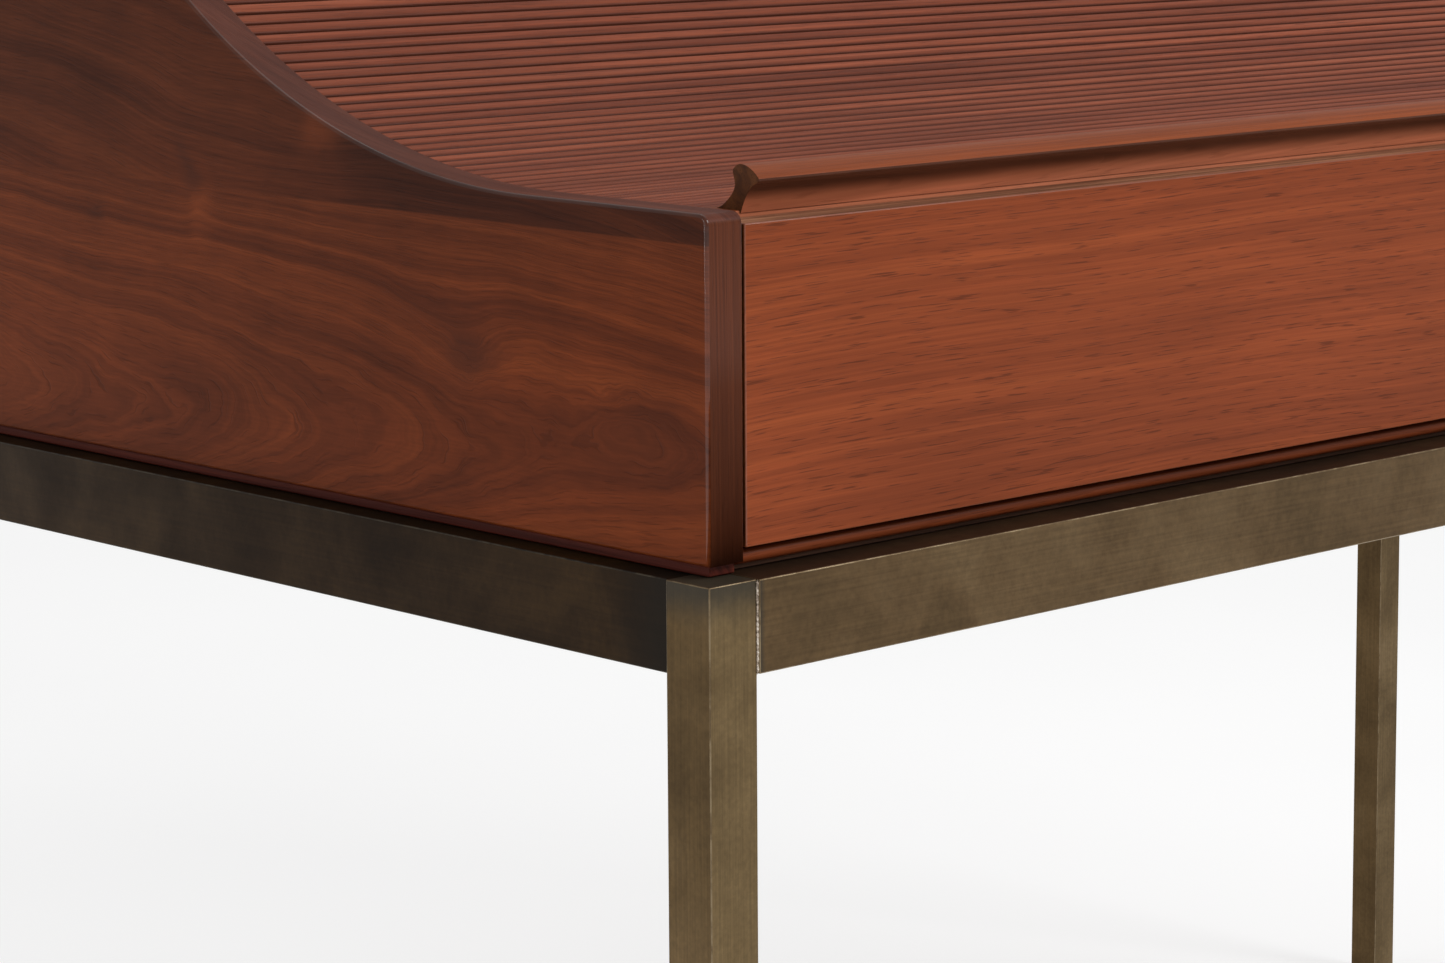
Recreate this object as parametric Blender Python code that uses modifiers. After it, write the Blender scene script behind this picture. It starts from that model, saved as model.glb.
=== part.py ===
"""A roll top desk: a walnut case on a welded bronze bar frame, closed by a tambour.

Metres, +Z up. The front faces -Y, +X is to the right of someone sitting at it, and
the origin is on the floor, midway between the outer faces of the frame.
"""

from math import cos, hypot, pi, radians, sin, tan

import bmesh
import bpy
from mathutils import Matrix, Vector

# Driving dimensions. The frame is drawn from seven-eighths inch bar.
INCH = 0.0254
GAP = 0.0003

BAR = 0.875 * INCH
RAIL_HEIGHT = 1.5 * BAR
FRAME_WIDTH = 65.0 * BAR
FRAME_DEPTH = 37.5 * BAR
FRAME_TOP = 0.620
RAIL_PROUD = 0.001
SIDE_RAIL_SET_BACK = 0.0009
GLIDE_RADIUS = 0.008
GLIDE_HEIGHT = 0.005

CASE_SET_IN = 0.0089
CASE_SET_BACK = 0.0100
STRIP_HEIGHT = 0.0044
STRIP_WIDTH = 0.0122
STRIP_SET_IN = 0.0026
BOARD = 0.75 * BAR
THIN_BOARD = 0.014
BACK_THICKNESS = 0.0105
SIDE_HEIGHT = 5.5 * BAR
FRONT_BELOW_SIDE_TOP = 0.0044
FRONT_ABOVE_SIDE_FOOT = 0.0046
FRONT_THICKNESS = 0.0166
LIP_SET_BACK = 0.0030
LIP_HEIGHT = 0.0054
LIP_BELOW_SIDE_FOOT = 0.0020
END_STRIP_SET_BACK = 0.007

# The upper edge of a side panel, as stretches of (length, turn): flat, up, over, flat.
EDGE_FLAT = 0.0963
EDGE_HOLLOW_RADIUS = 0.3588
EDGE_SLOPE = radians(46)
EDGE_STRAIGHT = 0.0525
EDGE_CROWN_RADIUS = 0.1138

# The tambour: slats on canvas, in sections that run in a track in the sides.
SLAT_PITCH = 0.0070
SLAT_HALF = 0.0035
SLAT_SLIT = 0.0020
SLATS_PER_SECTION = 7
SECTIONS = 11
LEAD_WIDTH = 0.0156
PULL_FROM_SIDE = 0.0144
TRACK_BELOW_EDGE = 0.0057
TRACK_START = 0.0256
TRACK_SLOPE = radians(44)
TRACK_CROWN_RADIUS = 0.105
TRACK_TOP_BELOW_EDGE = 0.0239
TRACK_BACK_RADIUS = 0.044
TRACK_BACK_FROM_REAR = 0.0195
TRACK_DROP = 0.192
GROOVE_HALF = 0.0041
GROOVE_DEPTH = 0.0066
TONGUE = 0.0053
LEAD_STOP_PAST_CROWN = 0.0083

DRAWER_TRAVEL = 0.44
DRAWER_BOX_DEPTH = 0.615
DRAWER_WALL = 0.011
DRAWER_FLOOR = 0.007
DRAWER_GAP = 0.0015

GALLERY_FRONT = 0.525
GALLERY_BACK = 0.755
GALLERY_BOARD = 0.009
GALLERY_BELOW_TAMBOUR = 0.007
GALLERY_SHELF_ABOVE_DESK = 0.064
SMALL_DRAWER_DEPTH = 0.205
SMALL_DRAWER_TRAVEL = 0.145
SMALL_WALL = 0.0065
KNOB_LENGTH = 0.015

# Levels and places that follow from them.
CASE_LEFT = -FRAME_WIDTH / 2 + CASE_SET_IN
INNER = -CASE_LEFT - BOARD
CASE_FRONT = -FRAME_DEPTH / 2 + CASE_SET_BACK
CASE_REAR = FRAME_DEPTH / 2 - CASE_SET_BACK
SIDE_FOOT = FRAME_TOP + STRIP_HEIGHT
SIDE_TOP = SIDE_FOOT + SIDE_HEIGHT
DESK_TOP = SIDE_TOP - TRACK_BELOW_EDGE - SLAT_HALF - 0.001
BEHIND_FRONTS = CASE_FRONT + FRONT_THICKNESS + 0.0012
BACK_FACE = CASE_REAR - BACK_THICKNESS
EDGE = [
    (EDGE_FLAT, 0.0),
    (EDGE_HOLLOW_RADIUS * EDGE_SLOPE, EDGE_SLOPE),
    (EDGE_STRAIGHT, 0.0),
    (EDGE_CROWN_RADIUS * EDGE_SLOPE, -EDGE_SLOPE),
]


def follow(start, stretches, distance):
    """The (y, z) point and the heading at a distance along stretches of (length, turn)."""
    y, z = start
    heading = 0.0
    for length, turn in stretches:
        run = min(distance, length)
        bend = turn * run / length
        if abs(bend) < 1e-9:
            y += run * cos(heading)
            z += run * sin(heading)
        else:
            radius = run / bend
            y += radius * (sin(heading + bend) - sin(heading))
            z -= radius * (cos(heading + bend) - cos(heading))
            heading += bend
        distance -= run
        if distance <= 0:
            break
    return y, z, heading


def total(stretches):
    return sum(length for length, _ in stretches)


def offset(place, sideways):
    """A point to the left of a heading, by a distance."""
    y, z, heading = place
    return y - sideways * sin(heading), z + sideways * cos(heading)


def spaced(first, last, count):
    return [first + (last - first) * i / (count - 1) for i in range(count)]


CASE_TOP = follow((CASE_FRONT, SIDE_TOP), EDGE, total(EDGE))[1]
CROWN_END = follow((CASE_FRONT, SIDE_TOP), EDGE, total(EDGE))[0]


def track_stretches():
    """The tambour's track from the lead slat's rest place to the foot of its drop."""
    hollow = EDGE_HOLLOW_RADIUS + TRACK_BELOW_EDGE
    top_level = CASE_TOP - TRACK_TOP_BELOW_EDGE
    first = [
        (EDGE_FLAT - TRACK_START, 0.0),
        (hollow * TRACK_SLOPE, TRACK_SLOPE),
    ]
    crown_rise = TRACK_CROWN_RADIUS * (1 - cos(TRACK_SLOPE))
    climbed = hollow * (1 - cos(TRACK_SLOPE))
    climb = top_level - (SIDE_TOP - TRACK_BELOW_EDGE) - climbed - crown_rise
    first += [
        (climb / sin(TRACK_SLOPE), 0.0),
        (TRACK_CROWN_RADIUS * TRACK_SLOPE, -TRACK_SLOPE),
    ]
    crown_end = follow(TRACK_ORIGIN, first, total(first))[0]
    flat = CASE_REAR - TRACK_BACK_FROM_REAR - TRACK_BACK_RADIUS - crown_end
    rest = [(flat, 0.0), (TRACK_BACK_RADIUS * pi / 2, -pi / 2), (TRACK_DROP, 0.0)]
    return first + rest, total(first)


TRACK_ORIGIN = (CASE_FRONT + TRACK_START, SIDE_TOP - TRACK_BELOW_EDGE)
TRACK, TO_CROWN_END = track_stretches()
TRAVEL = TO_CROWN_END + LEAD_STOP_PAST_CROWN


def track(distance):
    return follow(TRACK_ORIGIN, TRACK, distance)


def section_span(index):
    """Where a section starts and ends along the track when the desk is closed."""
    length = SLATS_PER_SECTION * SLAT_PITCH
    start = LEAD_WIDTH / 2 + index * length
    return start + GAP / 2, start + length - GAP / 2


def section_motion(index):
    """How a section gets from its closed place to its open one.

    Returns ("hinge", pole, angle) for a turn about an axis along X through pole, or
    ("slide", direction, length). Its two ends are on the track in both places.
    """
    start, end = section_span(index)
    places = []
    for moved in (0.0, TRAVEL):
        a, b = track(start + moved), track(end + moved)
        middle = Vector(((a[0] + b[0]) / 2, (a[1] + b[1]) / 2))
        places.append((middle, Vector((b[0] - a[0], b[1] - a[1]))))
    (closed, closed_chord), (opened, opened_chord) = places
    angle = -closed_chord.angle_signed(opened_chord)
    shift = opened - closed
    if abs(angle) < radians(1.0):
        return "slide", shift.normalized(), shift.length
    across = Vector((-shift.y, shift.x)) / (2 * tan(angle / 2))
    return "hinge", (closed + opened) / 2 + across, angle


def lead_motion():
    """The direction and length of the lead slat's straight run, which turns it nowhere."""
    y0, z0, _ = track(0.0)
    y1, z1, _ = track(TRAVEL)
    return Vector((y1 - y0, z1 - z0)).normalized(), hypot(y1 - y0, z1 - z0)


# Scene, collections and finishes.


def clear_scene():
    for obj in list(bpy.data.objects):
        bpy.data.objects.remove(obj)
    for name in ("roll_top_desk", "cutters"):
        made = bpy.data.collections.new(name)
        bpy.context.scene.collection.children.link(made)


def finish(name, colour, roughness, metallic=0.0):
    material = bpy.data.materials.new(name)
    material.use_nodes = True
    shader = material.node_tree.nodes["Principled BSDF"]
    shader.inputs["Base Color"].default_value = (*colour, 1.0)
    shader.inputs["Roughness"].default_value = roughness
    shader.inputs["Metallic"].default_value = metallic
    return material


def make_finishes():
    return {
        "side": finish("walnut_side", (0.12, 0.03, 0.013), 0.35),
        "front": finish("walnut_front", (0.27, 0.065, 0.027), 0.4),
        "slat": finish("walnut_slat", (0.26, 0.075, 0.045), 0.42),
        "inside": finish("walnut_inside", (0.22, 0.09, 0.04), 0.45),
        "strip": finish("dark_strip", (0.05, 0.008, 0.006), 0.5),
        "maple": finish("drawer_wood", (0.55, 0.38, 0.2), 0.5),
        "bronze": finish("patinated_bronze", (0.13, 0.1, 0.05), 0.4, 0.9),
        "brass": finish("knob_brass", (0.6, 0.42, 0.15), 0.3, 1.0),
        "nylon": finish("glide_nylon", (0.03, 0.028, 0.025), 0.5),
    }


def place(obj, collection="roll_top_desk"):
    bpy.data.collections[collection].objects.link(obj)
    return obj


def hinge_empty(name, y, z):
    """A cross at a hinge, whose axis runs along X."""
    empty = place(bpy.data.objects.new(name, None))
    empty.location = (0.0, y, z)
    empty.empty_display_size = 0.02
    return empty


def slide_empty(name, location, way, travel):
    """An arrow from where a slide is at rest to where its travel ends."""
    empty = place(bpy.data.objects.new(name, None))
    empty.location = location
    empty.empty_display_type = "SINGLE_ARROW"
    empty.empty_display_size = travel
    empty.rotation_euler = Vector(way).to_track_quat("Z", "X").to_euler()
    return empty


def hold(obj, parent):
    """Parents an object and leaves it where it stands."""
    bpy.context.view_layer.update()
    obj.parent = parent
    obj.matrix_parent_inverse = parent.matrix_world.inverted()


# Shapes.


def box(name, low, high, material=None, arris=0.0, collection="roll_top_desk"):
    """A board between two corners, its edges rounded by arris."""
    low, high = Vector(low), Vector(high)
    mesh = bpy.data.meshes.new(name)
    shape = bmesh.new()
    bmesh.ops.create_cube(shape, size=1.0, matrix=Matrix.Diagonal((*(high - low), 1.0)))
    shape.to_mesh(mesh)
    shape.free()
    obj = place(bpy.data.objects.new(name, mesh), collection)
    obj.location = (low + high) / 2
    if material:
        mesh.materials.append(material)
    if arris:
        round_edges(obj, arris, 1)
    return obj


def round_edges(obj, width, segments):
    bevel = obj.modifiers.new("arris", "BEVEL")
    bevel.width = width
    bevel.segments = segments
    bevel.limit_method = "ANGLE"
    bevel.angle_limit = radians(50)


def prism(name, outline, x_low, x_high, material=None, collection="roll_top_desk"):
    """A flat outline in Y and Z, made solid between two places along X."""
    curve = bpy.data.curves.new(name, "CURVE")
    curve.dimensions = "2D"
    curve.fill_mode = "BOTH"
    curve.extrude = (x_high - x_low) / 2
    spline = curve.splines.new("POLY")
    spline.points.add(len(outline) - 1)
    for point, (y, z) in zip(spline.points, outline):
        point.co = (y, z, 0.0, 1.0)
    spline.use_cyclic_u = True
    drawn = place(bpy.data.objects.new(name + "_outline", curve), "cutters")
    drawn.rotation_euler = (pi / 2, 0.0, pi / 2)
    drawn.location.x = (x_low + x_high) / 2
    bpy.context.view_layer.update()
    evaluated = drawn.evaluated_get(bpy.context.evaluated_depsgraph_get())
    mesh = bpy.data.meshes.new_from_object(evaluated)
    shape = bmesh.new()
    shape.from_mesh(mesh)
    bmesh.ops.remove_doubles(shape, verts=shape.verts, dist=1e-6)
    bmesh.ops.dissolve_limit(
        shape, angle_limit=radians(0.1), verts=shape.verts, edges=shape.edges
    )
    bmesh.ops.recalc_face_normals(shape, faces=shape.faces)
    shape.to_mesh(mesh)
    shape.free()
    mesh.materials.clear()
    obj = place(bpy.data.objects.new(name, mesh), collection)
    obj.matrix_world = drawn.matrix_world
    bpy.data.objects.remove(drawn)
    if material:
        mesh.materials.append(material)
    return obj


def turned(name, profile, material, steps=16):
    """A profile of (radius, z), top to bottom down its outer side, turned about Z."""
    mesh = bpy.data.meshes.new(name)
    points = [(radius, 0.0, z) for radius, z in profile]
    mesh.from_pydata(points, [(i, i + 1) for i in range(len(points) - 1)], [])
    mesh.materials.append(material)
    obj = place(bpy.data.objects.new(name, mesh))
    screw = obj.modifiers.new("turn", "SCREW")
    screw.steps = steps
    screw.render_steps = steps
    screw.use_merge_vertices = True
    screw.merge_threshold = 1e-5
    mesh.shade_smooth()
    return obj


def rod_cutter(name, radius, low, high):
    """An upright round cutter between two points on its axis."""
    mesh = bpy.data.meshes.new(name)
    shape = bmesh.new()
    depth = high[2] - low[2]
    bmesh.ops.create_cone(
        shape, cap_ends=True, segments=16, radius1=radius, radius2=radius, depth=depth
    )
    shape.to_mesh(mesh)
    shape.free()
    obj = place(bpy.data.objects.new(name, mesh), "cutters")
    obj.location = (Vector(low) + Vector(high)) / 2
    return obj


def cut(obj, cutter):
    cutter.hide_render = True
    cutter.display_type = "WIRE"
    boolean = obj.modifiers.new("cut_" + cutter.name, "BOOLEAN")
    boolean.operation = "DIFFERENCE"
    boolean.object = cutter


# The bronze frame.

CORNERS = {
    "front_left": (-1, -1),
    "front_right": (1, -1),
    "rear_left": (-1, 1),
    "rear_right": (1, 1),
}
BOLT_X = -CASE_LEFT - 0.0065
BOLT_FROM_END = 0.14


def span(side, outer, thickness):
    """The low and high ends of a thickness laid inward from an outer face."""
    ends = (side * outer, side * (outer - thickness))
    return min(ends), max(ends)


def make_legs(finishes):
    for corner, (side, end) in CORNERS.items():
        x0, x1 = span(side, FRAME_WIDTH / 2, BAR)
        y0, y1 = span(end, FRAME_DEPTH / 2, BAR)
        low = (x0, y0, GLIDE_HEIGHT + GAP)
        box("leg_" + corner, low, (x1, y1, FRAME_TOP), finishes["bronze"], 0.0008)
        glide = turned(
            "glide_" + corner,
            [
                (0.0, GLIDE_HEIGHT),
                (GLIDE_RADIUS, GLIDE_HEIGHT),
                (GLIDE_RADIUS, 0.0015),
                (GLIDE_RADIUS - 0.0015, 0.0),
                (0.0, 0.0),
            ],
            finishes["nylon"],
        )
        glide.location.x = (x0 + x1) / 2
        glide.location.y = (y0 + y1) / 2


def make_rails(finishes):
    low_z, bronze = FRAME_TOP - RAIL_HEIGHT, finishes["bronze"]
    reach = FRAME_WIDTH / 2 - BAR - GAP
    for name, end in (("rail_front", -1), ("rail_rear", 1)):
        y0, y1 = span(end, FRAME_DEPTH / 2 + RAIL_PROUD, BAR)
        box(name, (-reach, y0, low_z), (reach, y1, FRAME_TOP), bronze, 0.0008)
    reach = FRAME_DEPTH / 2 - BAR - GAP
    for name, side in (("rail_left", -1), ("rail_right", 1)):
        x0, x1 = span(side, FRAME_WIDTH / 2 - SIDE_RAIL_SET_BACK, BAR)
        box(name, (x0, -reach, low_z), (x1, reach, FRAME_TOP), bronze, 0.0008)


# The case.


def side_outline():
    """A side panel's outline: foot, rear edge, the flowing upper edge, then the front."""
    nose = 0.004
    upper = [
        follow((CASE_FRONT, SIDE_TOP), EDGE, distance)[:2]
        for distance in upper_edge_steps()
    ]
    corner = [
        (CASE_FRONT + nose * (1 - sin(a)), SIDE_TOP - nose * (1 - cos(a)))
        for a in spaced(pi / 2, 0.0, 5)
    ]
    foot = [(CASE_FRONT, SIDE_FOOT), (CASE_REAR, SIDE_FOOT)]
    return foot + [(CASE_REAR, CASE_TOP)] + upper[::-1] + corner[::-1]


def upper_edge_steps():
    hollow_end = EDGE_FLAT + EDGE[1][0]
    crown_start = hollow_end + EDGE_STRAIGHT
    return (
        spaced(EDGE_FLAT, hollow_end, 17)
        + spaced(crown_start, total(EDGE), 15)
    )


def track_steps():
    """Distances along the track, close together where it bends."""
    steps, done = [0.0], 0.0
    for length, turn in TRACK:
        count = 2 if turn == 0 else 2 + int(abs(turn) / radians(5))
        steps += spaced(done, done + length, count)[1:]
        done += length
    return steps


def groove_outline():
    steps = [-0.009] + track_steps()
    places = []
    for distance in steps:
        if distance < 0:
            places.append((TRACK_ORIGIN[0] + distance, TRACK_ORIGIN[1], 0.0))
        else:
            places.append(track(distance))
    above = [offset(place, GROOVE_HALF) for place in places]
    below = [offset(place, -GROOVE_HALF) for place in places]
    return below + above[::-1]


def make_sides(finishes):
    for name, side in (("side_left", -1), ("side_right", 1)):
        x0, x1 = sorted((side * -CASE_LEFT, side * INNER))
        panel = prism(name, side_outline(), x0, x1, finishes["side"])
        round_edges(panel, 0.0022, 2)
        g0, g1 = sorted((side * (INNER + GROOVE_DEPTH), side * (INNER - 0.01)))
        cut(panel, prism(name + "_groove", groove_outline(), g0, g1, None, "cutters"))
        s0, s1 = span(side, -CASE_LEFT - STRIP_SET_IN, STRIP_WIDTH)
        strip = box(
            name.replace("side", "strip"),
            (s0, CASE_FRONT + STRIP_SET_IN, FRAME_TOP + GAP),
            (s1, CASE_REAR - STRIP_SET_IN, SIDE_FOOT - GAP),
            finishes["strip"],
        )
        bolt_down(side, name.replace("side_", ""), panel, strip, finishes)


def make_end_strips(finishes):
    """Spacers on the front and rear rails, between the side strips."""
    reach = -CASE_LEFT - STRIP_SET_IN - STRIP_WIDTH - GAP
    for name, end in (("strip_front", -1), ("strip_rear", 1)):
        y0, y1 = span(end, CASE_REAR - END_STRIP_SET_BACK, STRIP_WIDTH)
        box(
            name, (-reach, y0, FRAME_TOP + GAP),
            (reach, y1, SIDE_FOOT - LIP_BELOW_SIDE_FOOT - GAP), finishes["strip"],
        )


def bolt_down(side, label, panel, strip, finishes):
    """Two bolts a side, up through the side rail and the strip into the panel."""
    rail = bpy.data.objects["rail_" + label]
    rail_foot = FRAME_TOP - RAIL_HEIGHT
    for where, y in (("front", -1), ("rear", 1)):
        x = side * BOLT_X
        y *= FRAME_DEPTH / 2 - BOLT_FROM_END
        bolt = turned(
            f"bolt_{where}_{label}",
            [
                (0.0, 0.018 + SIDE_FOOT),
                (0.003, 0.018 + SIDE_FOOT),
                (0.003, rail_foot + 0.0055),
                (0.0052, rail_foot + 0.0055),
                (0.0052, rail_foot + 0.001),
                (0.0, rail_foot + 0.001),
            ],
            finishes["bronze"],
            12,
        )
        bolt.location.x, bolt.location.y = x, y
        seat = (x, y, rail_foot + 0.006)
        tip = (x, y, SIDE_FOOT + 0.020)
        shank = rod_cutter(f"shank_hole_{where}_{label}", 0.0036, seat, tip)
        head = rod_cutter(
            f"head_hole_{where}_{label}", 0.006, (x, y, rail_foot - 0.01), seat
        )
        shank.location.z -= 0.001
        cut(rail, head)
        for holed in (rail, strip, panel):
            cut(holed, shank)


def make_boards(finishes):
    reach = INNER - GAP
    inside = finishes["inside"]
    rear = BACK_FACE - GAP
    prism("bottom_board", bottom_board_outline(rear), -reach, reach, inside)
    # It stops short of the back, so that the tambour's tail can pass down behind it.
    tail_room = CASE_REAR - TRACK_BACK_FROM_REAR - SLAT_HALF - 0.007
    low, high = DESK_TOP - THIN_BOARD, DESK_TOP
    box(
        "writing_surface", (-reach, BEHIND_FRONTS, low), (reach, tail_room, high),
        inside, 0.0006,
    )
    box(
        "back_panel", (-reach, BACK_FACE, SIDE_FOOT),
        (reach, CASE_REAR, CASE_TOP - BOARD - GAP), finishes["side"], 0.0006,
    )
    prism("top_board", top_board_outline(), -reach, reach, finishes["side"])


def bottom_board_outline(rear):
    """A board with a thin lip, round at its front, that reaches under the drawer fronts."""
    foot = SIDE_FOOT - LIP_BELOW_SIDE_FOOT
    radius = LIP_HEIGHT / 2
    middle = (CASE_FRONT + LIP_SET_BACK + radius, foot + radius)
    nose = [
        (middle[0] - radius * sin(a), middle[1] - radius * cos(a)) for a in spaced(0.0, pi, 7)
    ]
    top = SIDE_FOOT + THIN_BOARD
    step = [(BEHIND_FRONTS, foot + LIP_HEIGHT), (BEHIND_FRONTS, top)]
    return [(rear, foot)] + nose + step + [(rear, top)]


def top_board_outline():
    """A board with a half-round nose, level with the sides' upper edges."""
    radius = BOARD / 2
    nose_y = CROWN_END + 0.0045 + radius
    nose = [
        (nose_y - radius * sin(a), CASE_TOP - radius + radius * cos(a))
        for a in spaced(0.0, pi, 11)
    ]
    return [(CASE_REAR, CASE_TOP)] + nose + [(CASE_REAR, CASE_TOP - BOARD)]


# Drawers.

BAYS = ("left", "middle", "right")
BAY = (2 * INNER - 2 * THIN_BOARD) / 3


def bay_middle(index):
    return (index - 1) * (BAY + THIN_BOARD)


def tray(name, low, high, wall, floor, material):
    """An open box with walls and a floor."""
    body = box(name, low, high, material)
    cutter = box(
        name + "_hollow",
        (low[0] + wall, low[1] + wall, low[2] + floor),
        (high[0] - wall, high[1] - wall, high[2] + 0.01),
        collection="cutters",
    )
    cut(body, cutter)
    return body


def make_drawers(finishes):
    low_z, high_z = SIDE_FOOT + THIN_BOARD, DESK_TOP - THIN_BOARD
    for index in (1, 2):
        x = bay_middle(index) - BAY / 2 - THIN_BOARD
        box(
            f"drawer_divider_{index}", (x, BEHIND_FRONTS, low_z + GAP),
            (x + THIN_BOARD, BACK_FACE - 0.03, high_z - GAP), finishes["inside"],
        )
    width = (2 * INNER - 4 * DRAWER_GAP) / 3
    for index, bay in enumerate(BAYS):
        x = (index - 1) * (width + DRAWER_GAP)
        front = box(
            f"drawer_front_{bay}",
            (x - width / 2, CASE_FRONT + 0.0004, SIDE_FOOT + FRONT_ABOVE_SIDE_FOOT),
            (x + width / 2, CASE_FRONT + FRONT_THICKNESS, SIDE_TOP - FRONT_BELOW_SIDE_TOP),
            finishes["front"], 0.0008,
        )
        middle = bay_middle(index)
        reach = BAY / 2 - DRAWER_GAP
        body = tray(
            f"drawer_box_{bay}",
            (middle - reach, CASE_FRONT + FRONT_THICKNESS + GAP, low_z + 0.001),
            (middle + reach, CASE_FRONT + DRAWER_BOX_DEPTH, high_z - 0.007),
            DRAWER_WALL, DRAWER_FLOOR, finishes["maple"],
        )
        runner = slide_empty(
            f"drawer_slide_{bay}", (middle, CASE_FRONT, low_z), (0, -1, 0), DRAWER_TRAVEL
        )
        hold(front, runner)
        hold(body, runner)


# The gallery of pigeonholes and two small drawers at the back of the writing surface.


def make_gallery(finishes):
    inside = finishes["inside"]
    front, back = CASE_FRONT + GALLERY_FRONT, CASE_FRONT + GALLERY_BACK
    top = CASE_TOP - TRACK_TOP_BELOW_EDGE - SLAT_HALF - GALLERY_BELOW_TAMBOUR
    reach, board = INNER - 0.001, GALLERY_BOARD
    foot = DESK_TOP + GAP
    shelf = DESK_TOP + GALLERY_SHELF_ABOVE_DESK
    inner_back = back - 0.006 - GAP
    box("gallery_top", (-reach, front, top - board), (reach, back, top), inside, 0.0006)
    roof = top - board - GAP
    box("gallery_back", (-reach, back - 0.006, foot), (reach, back, roof), inside)
    for name, side in (("gallery_end_left", -1), ("gallery_end_right", 1)):
        x0, x1 = span(side, reach, board)
        box(name, (x0, front, foot), (x1, inner_back, roof), inside, 0.0006)
    between = reach - board - GAP
    box(
        "gallery_shelf", (-between, front, shelf - board), (between, inner_back, shelf),
        inside, 0.0006,
    )
    for index in (1, 2):
        x = (index - 1.5) * 2 * between / 3
        box(
            f"gallery_post_{index}", (x - board / 2, front, foot),
            (x + board / 2, inner_back, shelf - board - GAP), inside, 0.0006,
        )
    for index in (1, 2, 3):
        x = (index - 2) * between / 2
        box(
            f"pigeonhole_divider_{index}", (x - board / 2, front + 0.004, shelf + GAP),
            (x + board / 2, inner_back, roof), inside, 0.0006,
        )
    bay = (2 * between - 2 * board) / 3
    for name, side in (("left", -1), ("right", 1)):
        middle = side * (between - bay / 2 + board / 6)
        make_small_drawer(name, middle, bay / 2 - board / 3, front, foot, finishes)


def make_small_drawer(name, middle, reach, front, foot, finishes):
    half = reach - 0.0012
    low = (middle - half, front + 0.001, foot + 0.0012)
    roof = DESK_TOP + GALLERY_SHELF_ABOVE_DESK - GALLERY_BOARD
    high = (middle + half, front + SMALL_DRAWER_DEPTH, roof - 0.0025)
    body = tray(f"small_drawer_{name}", low, high, SMALL_WALL, 0.006, finishes["front"])
    knob = turned(
        f"knob_{name}",
        [
            (0.0, KNOB_LENGTH),
            (0.0045, KNOB_LENGTH - 0.0008),
            (0.0065, KNOB_LENGTH - 0.003),
            (0.0065, KNOB_LENGTH - 0.006),
            (0.0035, KNOB_LENGTH - 0.010),
            (0.0045, 0.0),
            (0.0, 0.0),
        ],
        finishes["brass"],
    )
    knob.rotation_euler.x = pi / 2
    knob.location = (middle, low[1] - GAP, (low[2] + high[2]) / 2)
    runner = slide_empty(
        f"small_drawer_slide_{name}", (middle, front, foot), (0, -1, 0),
        SMALL_DRAWER_TRAVEL,
    )
    hold(body, runner)
    hold(knob, runner)


# The tambour.

# The lead slat's section: (back from the case front, above the sides' front edge).
LEAD_PULL = [
    (0.0178, -0.0044),
    (0.0163, -0.0005),
    (0.0143, 0.0033),
    (0.0115, 0.0065),
    (0.0087, 0.0082),
    (0.0081, 0.0091),
    (0.0087, 0.0102),
    (0.0114, 0.0123),
    (0.0147, 0.0138),
    (0.0178, 0.0141),
    (0.0201, 0.0131),
    (0.0213, 0.0115),
    (0.0208, 0.0093),
    (0.0203, 0.0065),
    (0.0216, 0.0037),
    (0.0241, 0.0010),
    (0.0270, -0.0011),
    (0.0298, -0.0022),
]


def make_lead_slat(finishes):
    """The lead slat, which stays between the sides: its run isn't the groove's.

    Its pull stops short of the sides, and only its flat foot reaches them.
    """
    foot = -TRACK_BELOW_EDGE - SLAT_HALF
    back = TRACK_START + LEAD_WIDTH / 2 - GAP / 2
    top = -TRACK_BELOW_EDGE + SLAT_HALF
    front = TRACK_START - LEAD_WIDTH / 2
    outline = [(front, foot)] + LEAD_PULL + [(back, top), (back, foot)]
    outline = [(CASE_FRONT + y, SIDE_TOP + z) for y, z in outline[::-1]]
    reach = INNER - 0.0012
    lead = prism("lead_slat", outline, -reach, reach, finishes["front"])
    for name, side in (("left", -1), ("right", 1)):
        x0, x1 = sorted((side * (INNER - PULL_FROM_SIDE), side * (INNER + 0.01)))
        low = (x0, CASE_FRONT - 0.01, SIDE_TOP - TRACK_BELOW_EDGE + SLAT_HALF)
        high = (x1, CASE_FRONT + back + 0.01, SIDE_TOP + 0.03)
        cut(lead, box(f"pull_end_{name}", low, high, collection="cutters"))
    way, travel = lead_motion()
    y, z, _ = track(0.0)
    hold(lead, slide_empty("lead_slat_slide", (0.0, y, z), (0.0, *way), travel))


def slat_crown(start, end):
    """(distance, height) over one slat: a low crown between the slits at its sides."""
    crown = ((0.05, -SLAT_SLIT), (0.2, -0.0003), (0.5, 0.0), (0.8, -0.0003), (0.95, -SLAT_SLIT))
    return [(start + part * (end - start), SLAT_HALF + drop) for part, drop in crown]


def section_outline(index):
    start, end = section_span(index)
    pitch = (end - start) / SLATS_PER_SECTION
    upper = []
    for slat in range(SLATS_PER_SECTION):
        upper += slat_crown(start + slat * pitch, start + (slat + 1) * pitch)
    above = [offset(track(distance), height) for distance, height in upper]
    below = [offset(track(distance), -SLAT_HALF) for distance in spaced(start, end, 7)]
    return below + above[::-1]


def make_sections(finishes):
    reach = INNER + TONGUE
    for index in range(SECTIONS):
        name = f"tambour_section_{index + 1:02d}"
        section = prism(name, section_outline(index), -reach, reach, finishes["slat"])
        kind, pole_or_way, amount = section_motion(index)
        if kind == "hinge":
            axis = hinge_empty(f"{name}_axis", *pole_or_way)
        else:
            y, z, _ = track(section_span(index)[0])
            axis = slide_empty(f"{name}_axis", (0.0, y, z), (0.0, *pole_or_way), amount)
        hold(section, axis)


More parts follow.
